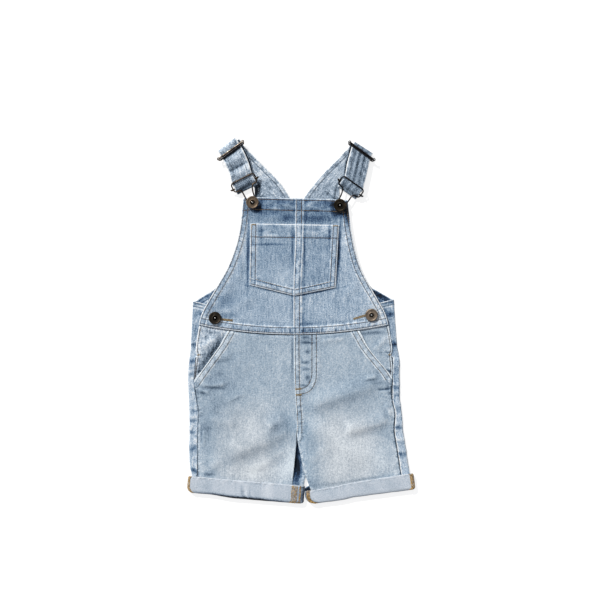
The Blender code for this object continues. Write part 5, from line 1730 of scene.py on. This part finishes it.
# ------------------------------------------------------------------ floor, light and camera
def studio():
    """Matt paper that shows white to the camera and in mirrors, under one sun and a pale sky."""
    deselect()
    bpy.ops.mesh.primitive_plane_add(size=6.0, location=(0, 0, -0.0002))
    floor = bpy.context.object
    floor.name = "floor"
    made = bpy.data.materials.new("seamless_paper")
    made.use_nodes = True
    tree = made.node_tree
    tree.nodes.clear()
    paper = node(tree, "BsdfDiffuse", {"Color": srgb("#a8a8a8")})["BSDF"]
    glow = node(tree, "Emission", {"Color": (1, 1, 1, 1), "Strength": 0.78})["Emission"]
    rays = node(tree, "LightPath")
    seen = rays["Is Camera Ray"]
    for kind in ("Is Glossy Ray", "Is Transmission Ray"):
        seen = node(tree, "Math", {0: seen, 1: rays[kind]}, operation="MAXIMUM")["Value"]
    none = node(tree, "Emission", {"Strength": 0.0})["Emission"]
    glow = node(tree, "MixShader", {0: seen, 1: none, 2: glow})["Shader"]
    whole = node(tree, "AddShader", {0: paper, 1: glow})["Shader"]
    node(tree, "OutputMaterial", {"Surface": whole})
    floor.data.materials.append(made)

    world = bpy.data.worlds.new("studio")
    bpy.context.scene.world = world
    world.use_nodes = True
    back = world.node_tree.nodes["Background"]
    back.inputs["Color"].default_value = srgb("#f4f6fb")
    back.inputs["Strength"].default_value = 0.40

    sun = bpy.data.lights.new("key", "SUN")
    sun.energy = 3.3
    sun.angle = math.radians(4)
    sun.color = (1.0, 0.985, 0.96)
    lamp = bpy.data.objects.new("key", sun)
    height = math.radians(36)
    toward = Vector((-0.60, 0.80, 0.0)).normalized() * math.cos(height)
    toward.z = math.sin(height)
    lamp.rotation_euler = toward.to_track_quat("Z", "Y").to_euler()
    bpy.context.scene.collection.objects.link(lamp)

    camera = bpy.data.cameras.new("camera")
    camera.sensor_width = 36.0
    up, frame_wide = 3.0, 0.810
    camera.lens = camera.sensor_width * up / frame_wide
    eye = bpy.data.objects.new("camera", camera)
    eye.location = (-0.00135, 0.0273, up + 0.005)
    bpy.context.scene.collection.objects.link(eye)
    bpy.context.scene.camera = eye
    bpy.context.scene.view_settings.view_transform = "Standard"


# ------------------------------------------------------------------ the whole
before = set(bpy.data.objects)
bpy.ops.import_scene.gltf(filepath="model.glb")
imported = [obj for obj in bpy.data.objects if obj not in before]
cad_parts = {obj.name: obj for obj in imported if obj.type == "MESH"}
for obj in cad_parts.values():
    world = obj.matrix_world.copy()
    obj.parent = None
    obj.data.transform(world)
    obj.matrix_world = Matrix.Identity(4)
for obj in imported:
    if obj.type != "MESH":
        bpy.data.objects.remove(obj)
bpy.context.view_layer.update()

# Denim: blue warp over white weft, stone washed; the eye sees streaks, pale ridges, blue puckers.
# Each code is the cloth's colour at one of these tones.
TONES = (-0.6, -0.25, 0.0, 0.2, 0.4, 0.55, 0.7, 0.85, 1.0)
DENIM = denim(
    "stonewashed_denim",
    TONES,
    "#0d1a29 #27405f #4b6583 #6c859f #8aa0b6 #a0b3c6 #b6c7d8 #ccd8e4 #e6ebef",
)
# The same cloth on the legs, rubbed finer and greyer.
LEG_DENIM = denim(
    "stonewashed_denim_legs",
    TONES,
    "#0d1a29 #2b4058 #53677b #76899c #92a5b7 #a4b6c6 #bac7d3 #cfdae4 #e2ecf3",
    streak=0.32,
    salt=0.9,
    slub=0.10,
    rubbed=0.29,
)
# The straps are rubbed hardest: greyer, with deep streaks left between the ridges.
STRAP_DENIM = denim(
    "stonewashed_denim_straps",
    TONES,
    "#0c151f #2b3744 #526273 #718294 #8e9fb0 #a4b4c5 #bbcad9 #d3dee9 #eef2f5",
    streak=1.0,
    salt=1.4,
    slub=0.45,
)
# The reverse shows more of the white weft.
REVERSE = denim(
    "denim_reverse_side",
    (-0.6, -0.25, 0.0, 0.35, 0.6, 1.0),
    "#262d36 #5f6c7e #93a0b0 #b3c0cd #c7d0db #e2e9f0",
    streak=0.4,
    salt=0.9,
    slub=0.2,
    worn=0.22,
)
# Spun polyester threads, dulled by washing: each is mottled between a deep shade and a rubbed one.
TOPSTITCH = thread("brown_topstitch_thread", "#574836 #88745a")
GREY_THREAD = thread("grey_blue_thread", "#4f5c6b #76838f")
TAN = thread("tan_thread", "#836d4d #a8946c")
SERGE = thread("amber_serging_thread", "#745829 #cda763")
# Plated wire in three degrees of darkening: brown brass, bronze, and nearly black.
BRASS = antique_brass("antique_brass_wire", "#3f3933 #6c6157 #a99c8b")
BLACKENED = antique_brass("blackened_brass_wire", "#17161a #2b2a2d #55504c")
BRONZED = antique_brass("bronzed_wire", "#2b2521 #4a4038 #7d6e5c")
# Each button has tarnished by a different amount.
BUTTON_METALS = {
    "button_bib_left": antique_brass("brown_brass_button", "#5a4f44 #776858 #8f7e69", (0.62, 0.5)),
    "button_bib_right": antique_brass("black_brass_button", "#24211c #332d25 #57493a", (0.55, 0.42)),
    "button_side_left": antique_brass("dark_brass_button", "#2a2723 #3a342d #544b40", (0.55, 0.45)),
    "button_side_right": antique_brass("pale_brass_button", "#6c6258 #8b7d6f #a59584", (0.62, 0.5)),
}
# The hollow round each rivet is never brushed and stays black; the rivet is bare bright nickel.
HOLLOW = antique_brass("unpolished_hollow", "#050505 #090909 #100f0e", (0.7, 0.6))
RIVET = antique_brass("nickel_rivet", "#b9b4ad #d9d5cf #f2efea", (0.3, 0.2))

PIECES = {}
for side, key in KEYS.items():
    PIECES[f"back_leg_{key}"] = back_leg(side)
    PIECES[f"pocket_facing_{key}"] = facing(side)
    PIECES[f"front_leg_{key}"] = front_leg(side)
    PIECES[f"bib_{key}"] = bib(side)
    PIECES[f"bib_pocket_{key}"] = bib_pocket(side)
    PIECES[f"cuff_{key}"] = cuff(key)
    PIECES[f"strap_{key}"] = strap(key)
PIECES["back_bib"] = back_bib()

# Each panel's cut piece: width and length in metres, its area, how it is held, and what it rests on.
CUTS = {
    "back_leg": ((0.175, 0.207), 0.0322, "laid", []),
    "pocket_facing": ((0.056, 0.084), 0.0032, "laid", ["back_leg_{0}"]),
    "front_leg": ((0.142, 0.232), 0.0288, "laid", ["back_leg_{0}"]),
    "bib": ((0.130, 0.186), 0.0166, "laid", ["back_bib"]),
    "bib_pocket": ((0.062, 0.098), 0.0056, "laid", ["bib_{0}"]),
    "cuff": ((0.318, 0.024), None, "folded", []),
    "strap": ((0.030, 0.250), None, "folded", ["buckle_{0}"]),
    "back_bib": ((0.325, 0.196), 0.0370, "laid", []),
}
for name, piece in PIECES.items():
    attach(piece, "root")
    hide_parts(name)
    flat, area, held, rests = CUTS[name.replace("_left", "").replace("_right", "")]
    rests = [r.format(name.rsplit("_", 1)[-1]) for r in rests]
    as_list(rests)

METAL = []
for key in SIDES:
    ring, shade_tongue = slide(key)
    METAL += [(buckle(key), f"buckle_{key}"), (ring, f"slide_{key}"), (shade_tongue, f"slide_{key}")]
for name, spot, head, tilt in (
    ("button_bib_left", BUCKLES["left"], 8.1, (0, 0)),
    ("button_bib_right", BUCKLES["right"], 8.1, (7, -9)),
    ("button_side_left", SIDE_BUTTONS["left"], 6.5, (-2, 3)),
    ("button_side_right", SIDE_BUTTONS["right"], 6.5, (2, -3)),
):
    METAL.append((button(name, spot, head, tilt), name))
for made, name in METAL:
    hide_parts(name)
    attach(made, "root")
for made in (topstitching(), back_stitching(), bar_tacks(), buttonholes(), serging()):
    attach(made, "root")

studio()
